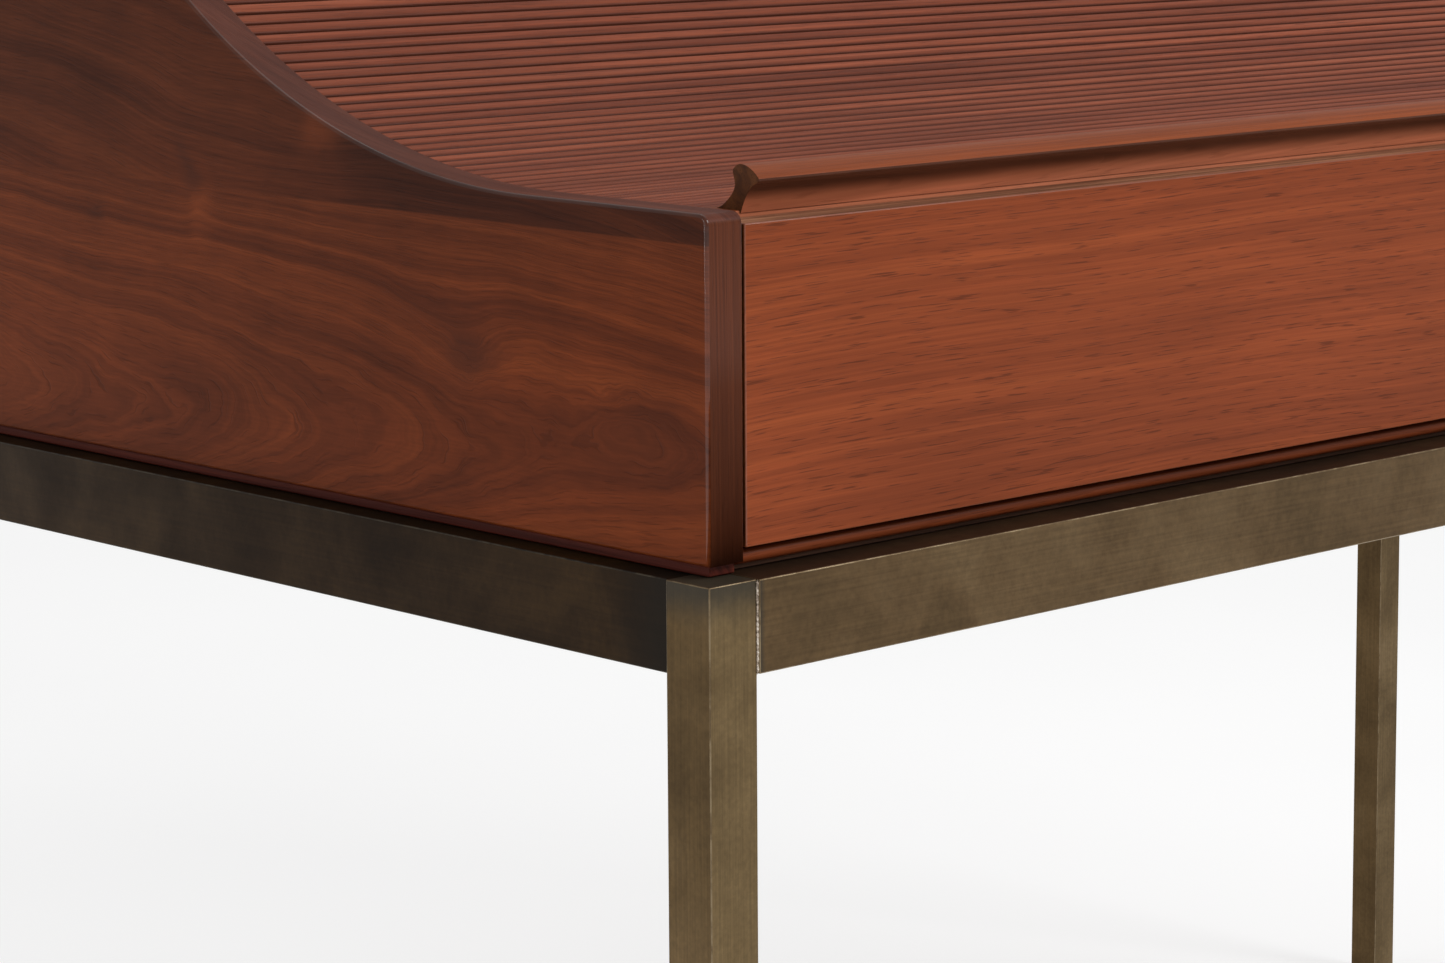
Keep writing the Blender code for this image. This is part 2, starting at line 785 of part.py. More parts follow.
def main():
    clear_scene()
    finishes = make_finishes()
    make_legs(finishes)
    make_rails(finishes)
    make_sides(finishes)
    make_end_strips(finishes)
    make_boards(finishes)
    make_drawers(finishes)
    make_gallery(finishes)
    make_lead_slat(finishes)
    make_sections(finishes)


main()
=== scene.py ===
"""The looks of a roll top desk: walnut case and tambour on a patinated bronze bar frame.

Metres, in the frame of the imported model: +Z up, the front faces -Y.
"""

import random
from math import cos, pi, radians, sin

import bmesh
import bpy
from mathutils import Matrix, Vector, noise


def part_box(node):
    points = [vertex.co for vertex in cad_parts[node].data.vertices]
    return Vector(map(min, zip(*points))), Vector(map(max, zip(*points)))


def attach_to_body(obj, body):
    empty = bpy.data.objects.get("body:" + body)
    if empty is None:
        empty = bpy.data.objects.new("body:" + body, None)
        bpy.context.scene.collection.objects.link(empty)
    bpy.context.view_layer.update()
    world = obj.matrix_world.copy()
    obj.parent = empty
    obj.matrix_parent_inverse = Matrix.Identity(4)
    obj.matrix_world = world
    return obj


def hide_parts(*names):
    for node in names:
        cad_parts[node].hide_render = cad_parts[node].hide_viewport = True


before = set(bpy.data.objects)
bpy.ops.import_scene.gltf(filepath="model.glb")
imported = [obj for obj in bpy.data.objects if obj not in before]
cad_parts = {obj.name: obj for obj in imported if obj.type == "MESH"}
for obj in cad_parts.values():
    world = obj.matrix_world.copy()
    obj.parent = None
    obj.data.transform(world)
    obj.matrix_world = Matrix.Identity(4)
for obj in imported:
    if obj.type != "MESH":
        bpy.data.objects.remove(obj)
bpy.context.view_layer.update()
random.seed(7)

# Places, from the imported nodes.
SIDE_LOW, SIDE_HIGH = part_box("side_left")
FRAME_LOW, FRAME_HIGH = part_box("leg_front_left")
CASE_LEFT = SIDE_LOW.x
INNER = -SIDE_HIGH.x
CASE_FRONT, CASE_REAR = SIDE_LOW.y, SIDE_HIGH.y
SIDE_FOOT, CASE_TOP = SIDE_LOW.z, SIDE_HIGH.z
FRAME_TOP = FRAME_HIGH.z
BAR = FRAME_HIGH.x - FRAME_LOW.x
SIDE_TOP = SIDE_FOOT + 5.5 * BAR
BOARD_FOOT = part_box("bottom_board")[0].z
NEAR_CORNER = Vector((FRAME_LOW.x, FRAME_LOW.y, FRAME_TOP))

# The sides' upper edge and the tambour's track, as stretches of (length, turn).
EDGE_FLAT = 0.0963
EDGE_HOLLOW_RADIUS = 0.3588
EDGE_SLOPE = radians(46)
EDGE_STRAIGHT = 0.0525
EDGE_CROWN_RADIUS = 0.1138
EDGE = [
    (EDGE_FLAT, 0.0),
    (EDGE_HOLLOW_RADIUS * EDGE_SLOPE, EDGE_SLOPE),
    (EDGE_STRAIGHT, 0.0),
    (EDGE_CROWN_RADIUS * EDGE_SLOPE, -EDGE_SLOPE),
]
SLAT_PITCH = 0.0070
SLAT_HALF = 0.0035
SLATS_PER_SECTION = 7
SECTIONS = 11
LEAD_WIDTH = 0.0156
TRACK_BELOW_EDGE = 0.0057
TRACK_START = 0.0256
TRACK_SLOPE = radians(44)
TRACK_CROWN_RADIUS = 0.105
TRACK_TOP_BELOW_EDGE = 0.0239
TRACK_BACK_RADIUS = 0.044
TRACK_BACK_FROM_REAR = 0.0195
TRACK_DROP = 0.192
GROOVE_HALF = 0.0041
GROOVE_DEPTH = 0.0066
TONGUE = 0.0053
PULL_FROM_SIDE = 0.0144
LIP_SET_BACK = 0.0030
LIP_HEIGHT = 0.0054
FRONT_REAR_FACE = 0.0178


def follow(start, stretches, distance):
    """The (y, z) point and the heading at a distance along stretches of (length, turn)."""
    y, z = start
    heading = 0.0
    for length, turn in stretches:
        run = min(distance, length)
        bend = turn * run / length
        if abs(bend) < 1e-9:
            y += run * cos(heading)
            z += run * sin(heading)
        else:
            radius = run / bend
            y += radius * (sin(heading + bend) - sin(heading))
            z -= radius * (cos(heading + bend) - cos(heading))
            heading += bend
        distance -= run
        if distance <= 0:
            break
    return y, z, heading


def total(stretches):
    return sum(length for length, _ in stretches)


def offset(place, sideways):
    """A point to the left of a heading, by a distance."""
    y, z, heading = place
    return y - sideways * sin(heading), z + sideways * cos(heading)


def spaced(first, last, count):
    return [first + (last - first) * i / (count - 1) for i in range(count)]


TRACK_ORIGIN = (CASE_FRONT + TRACK_START, SIDE_TOP - TRACK_BELOW_EDGE)


def track_stretches():
    hollow = EDGE_HOLLOW_RADIUS + TRACK_BELOW_EDGE
    first = [(EDGE_FLAT - TRACK_START, 0.0), (hollow * TRACK_SLOPE, TRACK_SLOPE)]
    crown_rise = TRACK_CROWN_RADIUS * (1 - cos(TRACK_SLOPE))
    climbed = hollow * (1 - cos(TRACK_SLOPE))
    climb = CASE_TOP - TRACK_TOP_BELOW_EDGE - TRACK_ORIGIN[1] - climbed - crown_rise
    first += [
        (climb / sin(TRACK_SLOPE), 0.0),
        (TRACK_CROWN_RADIUS * TRACK_SLOPE, -TRACK_SLOPE),
    ]
    crown_end = follow(TRACK_ORIGIN, first, total(first))[0]
    flat = CASE_REAR - TRACK_BACK_FROM_REAR - TRACK_BACK_RADIUS - crown_end
    return first + [
        (flat, 0.0), (TRACK_BACK_RADIUS * pi / 2, -pi / 2), (TRACK_DROP, 0.0),
    ]


TRACK = track_stretches()


def track(distance):
    return follow(TRACK_ORIGIN, TRACK, distance)


# Node graphs.


class Graph:
    """A material's nodes. Its methods take sockets or plain values and return sockets."""

    def __init__(self, name):
        self.material = bpy.data.materials.new(name)
        self.material.use_nodes = True
        self.tree = self.material.node_tree
        self.shader = self.tree.nodes["Principled BSDF"]

    def node(self, kind, inputs=(), **settings):
        made = self.tree.nodes.new(kind)
        for key, value in settings.items():
            setattr(made, key, value)
        for key, value in dict(inputs).items():
            self.put(made.inputs[key], value)
        return made

    def put(self, socket, value):
        if isinstance(value, bpy.types.NodeSocket):
            self.tree.links.new(value, socket)
        elif value is not None:
            socket.default_value = value

    def place(self):
        return self.node("ShaderNodeTexCoord").outputs["Object"]

    def attribute(self, name):
        return self.node("ShaderNodeAttribute", attribute_name=name).outputs["Fac"]

    def split(self, vector):
        return self.node("ShaderNodeSeparateXYZ", {"Vector": vector}).outputs

    def join(self, x, y, z):
        return self.node("ShaderNodeCombineXYZ", {"X": x, "Y": y, "Z": z}).outputs[0]

    def math(self, operation, a, b=0.5):
        return self.node("ShaderNodeMath", {0: a, 1: b}, operation=operation).outputs[0]

    def add(self, *terms):
        result = terms[0]
        for term in terms[1:]:
            result = self.math("ADD", result, term)
        return result

    def scaled(self, a, factor):
        return self.math("MULTIPLY", a, factor)

    def noise(self, vector, scale=1.0, detail=2.0, roughness=0.5, distortion=0.0):
        made = self.node(
            "ShaderNodeTexNoise",
            {
                "Vector": vector, "Scale": scale, "Detail": detail,
                "Roughness": roughness, "Distortion": distortion,
            },
        )
        return made.outputs["Fac"]

    def between(self, value, low, high, to_low=0.0, to_high=1.0):
        """A smooth step from low to high."""
        inputs = {
            "Value": value, "From Min": low, "From Max": high,
            "To Min": to_low, "To Max": to_high,
        }
        made = self.node("ShaderNodeMapRange", inputs, interpolation_type="SMOOTHSTEP")
        return made.outputs["Result"]

    def ramp(self, factor, *stops):
        made = self.node("ShaderNodeValToRGB", {"Fac": factor})
        elements = made.color_ramp.elements
        while len(elements) < len(stops):
            elements.new(0.5)
        for element, (position, colour) in zip(elements, stops):
            element.position = position
            element.color = (*colour, 1.0)
        return made.outputs["Color"]

    def mix(self, factor, a, b, blend="MIX"):
        made = self.node("ShaderNodeMix", data_type="RGBA", blend_type=blend)
        # A mix node's sockets for colours come after those for numbers and vectors.
        for index, value in ((0, factor), (6, a), (7, b)):
            if isinstance(value, tuple):
                value = (*value, 1.0)
            self.put(made.inputs[index], value)
        return made.outputs[2]

    def tint(self, colour, factor, low, high):
        """Multiplies a colour by low to high where a noise goes from low to high."""
        grey = self.ramp(factor, (0.32, (low,) * 3), (0.68, (high,) * 3))
        return self.mix(1.0, colour, grey, "MULTIPLY")

    def choose(self, factor, a, b):
        """A number between two others."""
        made = self.node("ShaderNodeMix", {"Factor": factor, "A": a, "B": b}, data_type="FLOAT")
        return made.outputs["Result"]

    def shade(self, colour, roughness, height=None, depth=0.0002, **fixed):
        """Sets the shader, and roughens it by a height. fixed holds its even values."""
        self.put(self.shader.inputs["Base Color"], colour)
        self.put(self.shader.inputs["Roughness"], roughness)
        for name, value in fixed.items():
            self.shader.inputs[name.replace("_", " ")].default_value = value
        if height is not None:
            bump = self.node(
                "ShaderNodeBump", {"Height": height, "Strength": 0.6, "Distance": depth}
            )
            self.put(self.shader.inputs["Normal"], bump.outputs[0])
        return self.material


def brushed(graph, along, across, depth, stretch, fine):
    """A vector for streaks that are long along the grain and fine across it."""
    return graph.join(
        graph.scaled(along, stretch), graph.scaled(across, fine), graph.scaled(depth, 30.0)
    )


# Walnut. Each finish has a dark, a middle and a light colour of its figure.

SIDE_TONES = ((0.086, 0.0182, 0.0054), (0.125, 0.0265, 0.0072), (0.168, 0.0368, 0.0096))
EDGE_FRONT_TONES = ((0.078, 0.021, 0.0085), (0.096, 0.025, 0.0100), (0.116, 0.031, 0.0120))
# The sides' top edge: its own wood, in a purplish tone that is a painted sheen.
TOP_EDGE_SHEEN_TONES = ((0.082, 0.025, 0.016), (0.102, 0.031, 0.019), (0.124, 0.038, 0.023))
FRONT_TONES = ((0.180, 0.0375, 0.0108), (0.216, 0.0450, 0.0128), (0.256, 0.0555, 0.0153))
# Painted light: the lead slat's cove gets brighter, pinker tones than the slat, for the light it
# catches from below.
LIT_COVE_TONES = ((0.370, 0.110, 0.052), (0.470, 0.150, 0.073), (0.560, 0.190, 0.098))
LEAD_TONES = ((0.180, 0.041, 0.0125), (0.225, 0.053, 0.0160), (0.275, 0.067, 0.0205))
SLAT_TONES = ((0.155, 0.036, 0.0160), (0.212, 0.051, 0.0230), (0.275, 0.072, 0.0340))
INSIDE_TONES = ((0.15, 0.045, 0.018), (0.25, 0.083, 0.032), (0.33, 0.12, 0.048))
LIP_TONES = ((0.140, 0.0290, 0.0085), (0.172, 0.0360, 0.0102), (0.210, 0.0450, 0.0125))
STRIP_TONES = ((0.042, 0.0085, 0.006), (0.080, 0.0150, 0.0095), (0.120, 0.0240, 0.013))
END_STRIP_TONES = ((0.060, 0.032, 0.022), (0.100, 0.052, 0.036), (0.150, 0.076, 0.050))
RAW_TONES = ((0.110, 0.045, 0.025), (0.280, 0.120, 0.066), (0.420, 0.195, 0.108))
MAPLE_TONES = ((0.40, 0.25, 0.12), (0.53, 0.36, 0.19), (0.62, 0.45, 0.26))

GLUE_LINE = SIDE_TOP - 0.0112
ARCH_MIDDLE = 0.651
ARCH_OPENING = 12.6
# Marks in the sides: (y, z, half length, half height, swell of the grain round it, shade).
# A shade above nothing is a part of DARK_MARK, and one below nothing is a part of LIGHT_MARK.
MARKS = (
    (-0.279, 0.686, 0.016, 0.009, 0.012, 0.60),
    (-0.262, 0.700, 0.030, 0.014, 0.010, 0.20),
    (-0.193, 0.759, 0.011, 0.010, -0.010, -0.34),
    (-0.116, 0.726, 0.008, 0.010, -0.006, -0.30),
    (-0.377, 0.666, 0.040, 0.018, -0.012, 0.32),
    (-0.105, 0.744, 0.006, 0.008, 0.004, 0.60),
    (-0.043, 0.721, 0.007, 0.004, 0.003, 0.55),
    (0.180, 0.800, 0.040, 0.020, 0.020, 0.40),
)
DARK_MARK = (0.050, 0.014, 0.007)
LIGHT_MARK = (0.260, 0.058, 0.016)


# How a mark fades away from its middle, and the most that marks can darken the wood.
MARK_FADE_BASE = 2.718
DARKEST_MARK = 0.8


def wood(graph, along, across, depth, tones, bands=(1.3, 120.0), pores=0.5):
    """Wood whose grain lines are where across is constant. Returns colour and height."""
    dark, middle, light = tones
    figure = graph.noise(brushed(graph, along, across, depth, *bands), detail=5.0, roughness=0.62)
    colour = graph.ramp(figure, (0.32, dark), (0.5, middle), (0.68, light))
    streak = graph.noise(brushed(graph, along, across, depth, 8.0, 1100.0), detail=2.0)
    colour = graph.tint(colour, streak, 0.87, 1.10)
    pore = graph.noise(brushed(graph, along, across, depth, 60.0, 2200.0), detail=1.0)
    pore = graph.between(pore, 0.60, 0.70)
    colour = graph.mix(graph.scaled(pore, pores), colour, tuple(0.4 * c for c in dark))
    height = graph.add(graph.scaled(streak, 0.4), graph.scaled(pore, -0.8))
    return colour, height


def finish_wood(graph, colour, height, roughness=0.42, sheen=0.10, coat=0.0):
    return graph.shade(
        colour, roughness, height, 0.00010, Specular_IOR_Level=sheen, Coat_Weight=coat,
        Coat_Roughness=0.08,
    )


def nearness(graph, y, z, back, height, length, tall):
    """One at a point of the side, falling to nothing round it."""
    away = graph.node(
        "ShaderNodeVectorMath",
        {0: graph.join(
            graph.scaled(graph.math("SUBTRACT", y, back), 1 / length),
            graph.scaled(graph.math("SUBTRACT", z, height), 1 / tall), 0.0,
        )},
        operation="LENGTH",
    ).outputs["Value"]
    return graph.math("POWER", MARK_FADE_BASE, graph.scaled(graph.math("POWER", away, 2.0), -1.0))


def side_walnut(name, coat):
    """The sides: figure that arches towards the front round a low line, with knots."""
    graph = Graph(name)
    x, y, z = graph.split(graph.place())
    # The two sides are cut from different boards.
    shift = graph.between(x, -0.1, 0.1, 0.0, 0.37)
    y = graph.add(y, shift)
    flat = graph.join(y, z, 0.0)
    drift = graph.noise(graph.join(graph.scaled(y, 4.0), graph.scaled(z, 9.0), shift), detail=2.0)
    ripple = graph.noise(graph.join(graph.scaled(y, 28.0), graph.scaled(z, 55.0), 0.0), detail=3.0)
    rise = graph.math("SUBTRACT", z, ARCH_MIDDLE)
    arch = graph.scaled(graph.math("MULTIPLY", rise, rise), ARCH_OPENING)
    across = graph.add(
        arch, graph.scaled(y, -0.12), graph.scaled(drift, 0.040), graph.scaled(ripple, 0.006)
    )
    darks, lights = 0.0, 0.0
    stray = graph.scaled(graph.math("SUBTRACT", ripple, 0.5), 0.030)
    for back, height, length, tall, swell, shade in MARKS:
        near = nearness(graph, graph.add(y, stray), graph.add(z, stray), back, height, length, tall)
        across = graph.add(across, graph.scaled(near, swell))
        if shade > 0:
            darks = graph.add(darks, graph.scaled(near, shade))
        else:
            lights = graph.add(lights, graph.scaled(near, -shade))
    # Above the glue line is another board, darker, with its grain level.
    upper = graph.between(z, GLUE_LINE, GLUE_LINE + 0.0006)
    beside = graph.add(graph.scaled(z, 0.9), graph.scaled(y, -0.1), graph.scaled(drift, 0.05))
    across = graph.choose(upper, across, beside)
    colour, bump = wood(graph, y, across, 0.0, SIDE_TONES, (1.1, 90.0), 0.34)
    lines = graph.noise(brushed(graph, y, across, 0.0, 3.0, 330.0), detail=4.0, roughness=0.65)
    colour = graph.tint(colour, lines, 0.86, 1.10)
    # Pores lie level whatever the figure does.
    flecks = graph.noise(graph.join(graph.scaled(y, 60.0), graph.scaled(z, 900.0), 0.0), detail=3.0)
    colour = graph.tint(colour, flecks, 0.90, 1.08)
    colour = graph.tint(colour, graph.noise(flat, 7.0, 3.0, 0.55), 0.80, 1.16)
    colour = graph.tint(colour, graph.noise(flat, 30.0, 3.0, 0.6), 0.92, 1.07)
    # The board is darker high up, and lighter low down at the front.
    high = graph.between(z, 0.700, 0.775)
    colour = graph.mix(high, colour, graph.mix(1.0, colour, (0.66, 0.76, 0.98), "MULTIPLY"))
    forward_and_low = graph.scaled(graph.add(y, z), -1.0)
    front = graph.between(forward_and_low, -0.56, -0.28)
    colour = graph.mix(front, colour, graph.mix(1.0, colour, (1.20, 1.14, 1.0), "MULTIPLY"))
    colour = graph.mix(graph.math("MINIMUM", darks, DARKEST_MARK), colour, DARK_MARK)
    colour = graph.mix(lights, colour, LIGHT_MARK)
    # The two boards match better towards the back.
    apart = graph.scaled(upper, graph.between(graph.scaled(y, -1.0), 0.12, 0.27))
    colour = graph.mix(apart, colour, graph.mix(1.0, colour, (0.54, 0.57, 0.68), "MULTIPLY"))
    return finish_wood(graph, colour, bump, 0.42, 0.06, coat)


def plain_walnut(
    name, grain, tones, bands=(1.3, 120.0), pores=0.5, rough=0.42, sheen=0.10, coat=0.0,
    painted_shade=None,
):
    """Straight-grained wood with its grain along an axis of the desk.

    The last argument is painted shade, as (low, high, part): the colour falls to a part of itself
    between two heights.
    """
    graph = Graph(name)
    parts = dict(zip("XYZ", graph.split(graph.place())))
    along = parts.pop(grain)
    first, second = parts.values()
    drift = graph.noise(
        graph.join(graph.scaled(along, 1.7), graph.scaled(first, 5.0), graph.scaled(second, 5.0)),
        detail=2.0,
    )
    across = graph.add(first, graph.scaled(second, 0.7), graph.scaled(drift, 0.020))
    depth = graph.math("SUBTRACT", second, first)
    colour, bump = wood(graph, along, across, depth, tones, bands, pores)
    fibre = graph.noise(brushed(graph, along, across, depth, 20.0, 2600.0), detail=2.0)
    colour = graph.tint(colour, fibre, 0.90, 1.08)
    colour = graph.tint(colour, graph.noise(graph.place(), 7.0, 2.0), 0.88, 1.10)
    # Painted shade, darker upwards.
    if painted_shade:
        low, high, part = painted_shade
        upwards = graph.between(graph.split(graph.place())[2], low, high)
        colour = graph.mix(upwards, colour, graph.mix(1.0, colour, (part,) * 3, "MULTIPLY"))
    return finish_wood(graph, colour, bump, rough, sheen, coat)


def slat_walnut():
    """The slats: each has its own tone and piece of grain, from the mesh's attributes."""
    graph = Graph("walnut_slats")
    x = graph.split(graph.place())[0]
    tone, girth = graph.attribute("tone"), graph.attribute("girth")
    along = graph.add(x, graph.scaled(tone, 9.0))
    drift = graph.noise(graph.join(graph.scaled(along, 3.0), graph.scaled(tone, 31.0), 0.0))
    across = graph.add(girth, graph.scaled(drift, 0.012))
    colour, bump = wood(graph, along, across, tone, SLAT_TONES, (3.5, 260.0), 0.50)
    hue = graph.ramp(
        tone, (0.0, (0.92, 0.88, 0.86)), (0.3, (1.02, 1.00, 0.98)), (0.62, (1.05, 1.05, 1.03)),
        (1.0, (1.13, 1.12, 1.08)),
    )
    colour = graph.mix(1.0, colour, hue, "MULTIPLY")
    length = graph.join(graph.scaled(x, 3.2), graph.scaled(tone, 57.0), 0.0)
    colour = graph.tint(colour, graph.noise(length), 0.84, 1.14)
    # Painted shade: the colour darkens in the slits between the slats, where they shade each other.
    unshaded = graph.between(graph.attribute("height"), 0.0025, 0.00345)
    colour = graph.mix(unshaded, (0.072, 0.019, 0.010), colour)
    return finish_wood(graph, colour, bump, 0.42, 0.10)


def end_grain(name, tones):
    """Cut ends: short dots in place of streaks, darker than the long grain."""
    graph = Graph(name)
    place = graph.place()
    dots = graph.noise(place, 1500.0, 1.0)
    rings = graph.noise(place, 130.0, 3.0, 0.5, 1.0)
    dark, middle, light = tones
    colour = graph.ramp(rings, (0.3, dark), (0.5, middle), (0.75, light))
    colour = graph.mix(graph.between(dots, 0.55, 0.68, 0.0, 0.6), colour, dark)
    return graph.shade(colour, 0.45, dots, 0.0001, Specular_IOR_Level=0.12)


# Bronze.


def bronze(name, tones, grain, stain_at=(), stain_colour=(0.034, 0.032, 0.026)):
    """An uneven patina, brushed along a bar, with dark heat stains near the welds."""
    graph = Graph(name)
    place = graph.place()
    parts = dict(zip("XYZ", graph.split(place)))
    along = parts.pop(grain)
    first, second = parts.values()
    blotch = graph.noise(place, 16.0, 5.0, 0.62, 0.3)
    speckle = graph.noise(place, 420.0, 3.0, 0.6)
    fine = [graph.scaled(part, 900.0) for part in (first, second)]
    brush = graph.noise(graph.join(graph.scaled(along, 14.0), *fine), detail=2.0)
    dark, middle, light = tones
    colour = graph.ramp(blotch, (0.30, dark), (0.5, middle), (0.70, light))
    colour = graph.tint(colour, brush, 0.88, 1.12)
    colour = graph.tint(colour, speckle, 0.90, 1.12)
    for axis, middle_at, reach in stain_at:
        here = dict(zip("XYZ", graph.split(place)))[axis]
        away = graph.math("ABSOLUTE", graph.math("SUBTRACT", here, middle_at))
        edge = graph.add(away, graph.scaled(graph.noise(place, 60.0, 3.0), reach * 0.9))
        stain = graph.between(edge, reach * 0.5, reach * 2.2, 0.8, 0.0)
        colour = graph.mix(stain, colour, stain_colour)
    roughness = graph.between(blotch, 0.3, 0.7, 0.58, 0.43)
    height = graph.add(graph.scaled(speckle, 0.6), graph.scaled(brush, 0.4))
    return graph.shade(
        colour, roughness, height, 0.00008, Metallic=0.45, Specular_IOR_Level=0.12
    )


def worn_bronze(name, bare, patina):
    """Arrises where the patina has rubbed through to the metal in places."""
    graph = Graph(name)
    rub = graph.between(graph.noise(graph.place(), 90.0, 4.0, 0.65), 0.38, 0.62)
    colour = graph.mix(rub, patina, bare)
    return graph.shade(colour, 0.36, None, Metallic=0.75)


def weld_metal():
    graph = Graph("weld_bead")
    grit = graph.noise(graph.place(), 900.0, 4.0, 0.7)
    colour = graph.ramp(
        grit, (0.34, (0.045, 0.035, 0.028)), (0.48, (0.42, 0.33, 0.25)), (0.62, (0.82, 0.74, 0.64)),
    )
    return graph.shade(colour, 0.38, grit, 0.0004, Metallic=0.6)


def brass():
    graph = Graph("knob_satin_brass")
    rub = graph.noise(graph.place(), 240.0, 3.0, 0.6)
    colour = graph.ramp(rub, (0.35, (0.38, 0.26, 0.10)), (0.6, (0.62, 0.45, 0.19)))
    rough = graph.between(rub, 0.3, 0.7, 0.36, 0.24)
    return graph.shade(colour, rough, rub, 0.00005, Metallic=1.0)


def nylon():
    graph = Graph("glide_dark_nylon")
    grain = graph.noise(graph.place(), 700.0, 2.0)
    colour = graph.ramp(grain, (0.3, (0.014, 0.013, 0.012)), (0.7, (0.03, 0.028, 0.025)))
    return graph.shade(colour, 0.55, grain, 0.00008)


# Radians of weave to a metre of cloth: a thread each 1.5 mm.
THREADS = 4200.0


def canvas():
    graph = Graph("tambour_canvas_weave")
    x = graph.split(graph.place())[0]
    girth = graph.attribute("girth")
    warp = graph.math("SINE", graph.scaled(x, THREADS))
    weft = graph.math("SINE", graph.scaled(girth, THREADS))
    weave = graph.scaled(graph.add(graph.math("MULTIPLY", warp, weft), 1.0), 0.5)
    colour = graph.ramp(weave, (0.2, (0.05, 0.035, 0.022)), (0.8, (0.15, 0.11, 0.07)))
    return graph.shade(colour, 0.9, weave, 0.0002)


def pale_floor():
    graph = Graph("pale_floor")
    mottle = graph.noise(graph.place(), 1.5, 2.0)
    colour = graph.ramp(mottle, (0.3, (0.39,) * 3), (0.7, (0.41,) * 3))
    return graph.shade(
        colour, 0.9, None, Emission_Color=(1.0, 1.0, 1.0, 1.0), Emission_Strength=0.665,
        Specular_IOR_Level=0.1,
    )


MATERIALS = {
    "side": side_walnut("walnut_side_figured", 0.0),
    "side_arris": side_walnut("walnut_side_arris", 0.65),
    # The sides' top edge, whose purplish tone is a painted sheen.
    "side_edge": plain_walnut(
        "walnut_side_top_edge", "Y", TOP_EDGE_SHEEN_TONES, (2.0, 200.0), 0.2, 0.38, 0.07
    ),
    "side_front": plain_walnut(
        "walnut_side_front_edge", "Z", EDGE_FRONT_TONES, (4.0, 600.0), 0.3, 0.40
    ),
    "side_cross": plain_walnut("walnut_top_board", "X", SIDE_TONES),
    "front": plain_walnut("walnut_drawer_front", "X", FRONT_TONES, (1.5, 170.0), 0.62, 0.44),
    "lead": plain_walnut("walnut_lead_slat", "X", LEAD_TONES, (1.2, 160.0), 0.2, 0.34, 0.10),
    # Painted light and shade: the cove is a brighter copy of the lead slat's wood, and it darkens
    # upwards into painted shade under the nose.
    "lead_cove": plain_walnut(
        "walnut_lead_cove", "X", LIT_COVE_TONES, (1.2, 160.0), 0.2, 0.36,
        painted_shade=(SIDE_TOP - 0.0020, SIDE_TOP + 0.0058, 0.17),
    ),
    "slat": slat_walnut(),
    "inside": plain_walnut("walnut_inside_x", "X", INSIDE_TONES),
    "inside_y": plain_walnut("walnut_inside_y", "Y", INSIDE_TONES),
    "inside_z": plain_walnut("walnut_inside_z", "Z", INSIDE_TONES),
    # Painted shade: the bottom board's lip darkens upwards, beneath the drawer fronts.
    "under": plain_walnut(
        "walnut_bottom_board", "X", LIP_TONES, (1.2, 110.0), 0.4,
        painted_shade=(BOARD_FOOT + 0.0018, BOARD_FOOT + 0.0050, 0.42),
    ),
    "raw_edge": plain_walnut(
        "walnut_raw_top_edge", "X", RAW_TONES, (5.0, 300.0), 0.7, 0.6, 0.04
    ),
    # Painted highlight: the drawer fronts' arrises get the lead slat's lighter, more orange tones,
    # giving a thin bright line.
    "front_arris": plain_walnut(
        "walnut_front_arris", "X", LEAD_TONES, (1.2, 160.0), 0.1, 0.36, 0.4, 0.3
    ),
    "strip": plain_walnut("dark_red_strip", "Y", STRIP_TONES, (2.0, 300.0), 0.3),
    "end_strip": plain_walnut(
        "dark_end_strip", "X", END_STRIP_TONES, (2.0, 300.0), 0.3, 0.7, 0.05
    ),
    "maple": plain_walnut("maple_sides", "Y", MAPLE_TONES, (1.5, 140.0), 0.08),
    "maple_x": plain_walnut("maple_ends", "X", MAPLE_TONES, (1.5, 140.0), 0.08),
    "maple_end": end_grain(
        "maple_end_grain", ((0.20, 0.115, 0.05), (0.30, 0.19, 0.09), (0.38, 0.25, 0.13))
    ),
    "end": end_grain(
        "walnut_end_grain", ((0.048, 0.015, 0.005), (0.088, 0.028, 0.008), (0.14, 0.048, 0.014))
    ),
    "canvas": canvas(),
    "weld": weld_metal(),
    "brass": brass(),
    "nylon": nylon(),
}

LEG_TONES = ((0.104, 0.068, 0.030), (0.150, 0.101, 0.046), (0.190, 0.131, 0.064))
# Painted shade: a darker copy of the leg's patina for the faces of the legs that look sideways.
SHADED_LEG_SIDE_TONES = ((0.076, 0.046, 0.018), (0.110, 0.068, 0.027), (0.138, 0.088, 0.038))
FRONT_RAIL_TONES = ((0.068, 0.043, 0.019), (0.100, 0.061, 0.027), (0.132, 0.085, 0.040))
SIDE_RAIL_TONES = ((0.0135, 0.0068, 0.0026), (0.0235, 0.0118, 0.0037), (0.040, 0.0205, 0.0058))
# Painted shade: a darker copy of the rail patina for the rails' top faces.
SHADED_RAIL_TOP_TONES = ((0.024, 0.0125, 0.0070), (0.040, 0.0205, 0.0105), (0.062, 0.0320, 0.0155))
REACH_X, REACH_Y = -FRAME_LOW.x - BAR, -FRAME_LOW.y - BAR
MATERIALS["leg"] = bronze("bronze_leg", LEG_TONES, "Z", [("Z", FRAME_TOP, 0.010)])
# Painted shade on the legs' sideways faces.
MATERIALS["leg_side"] = bronze(
    "bronze_leg_side", SHADED_LEG_SIDE_TONES, "Z", [("Z", FRAME_TOP, 0.010)]
)
MATERIALS["front_rail"] = bronze(
    "bronze_front_rail", FRONT_RAIL_TONES, "X", [("X", -REACH_X, 0.002), ("X", REACH_X, 0.002)]
)
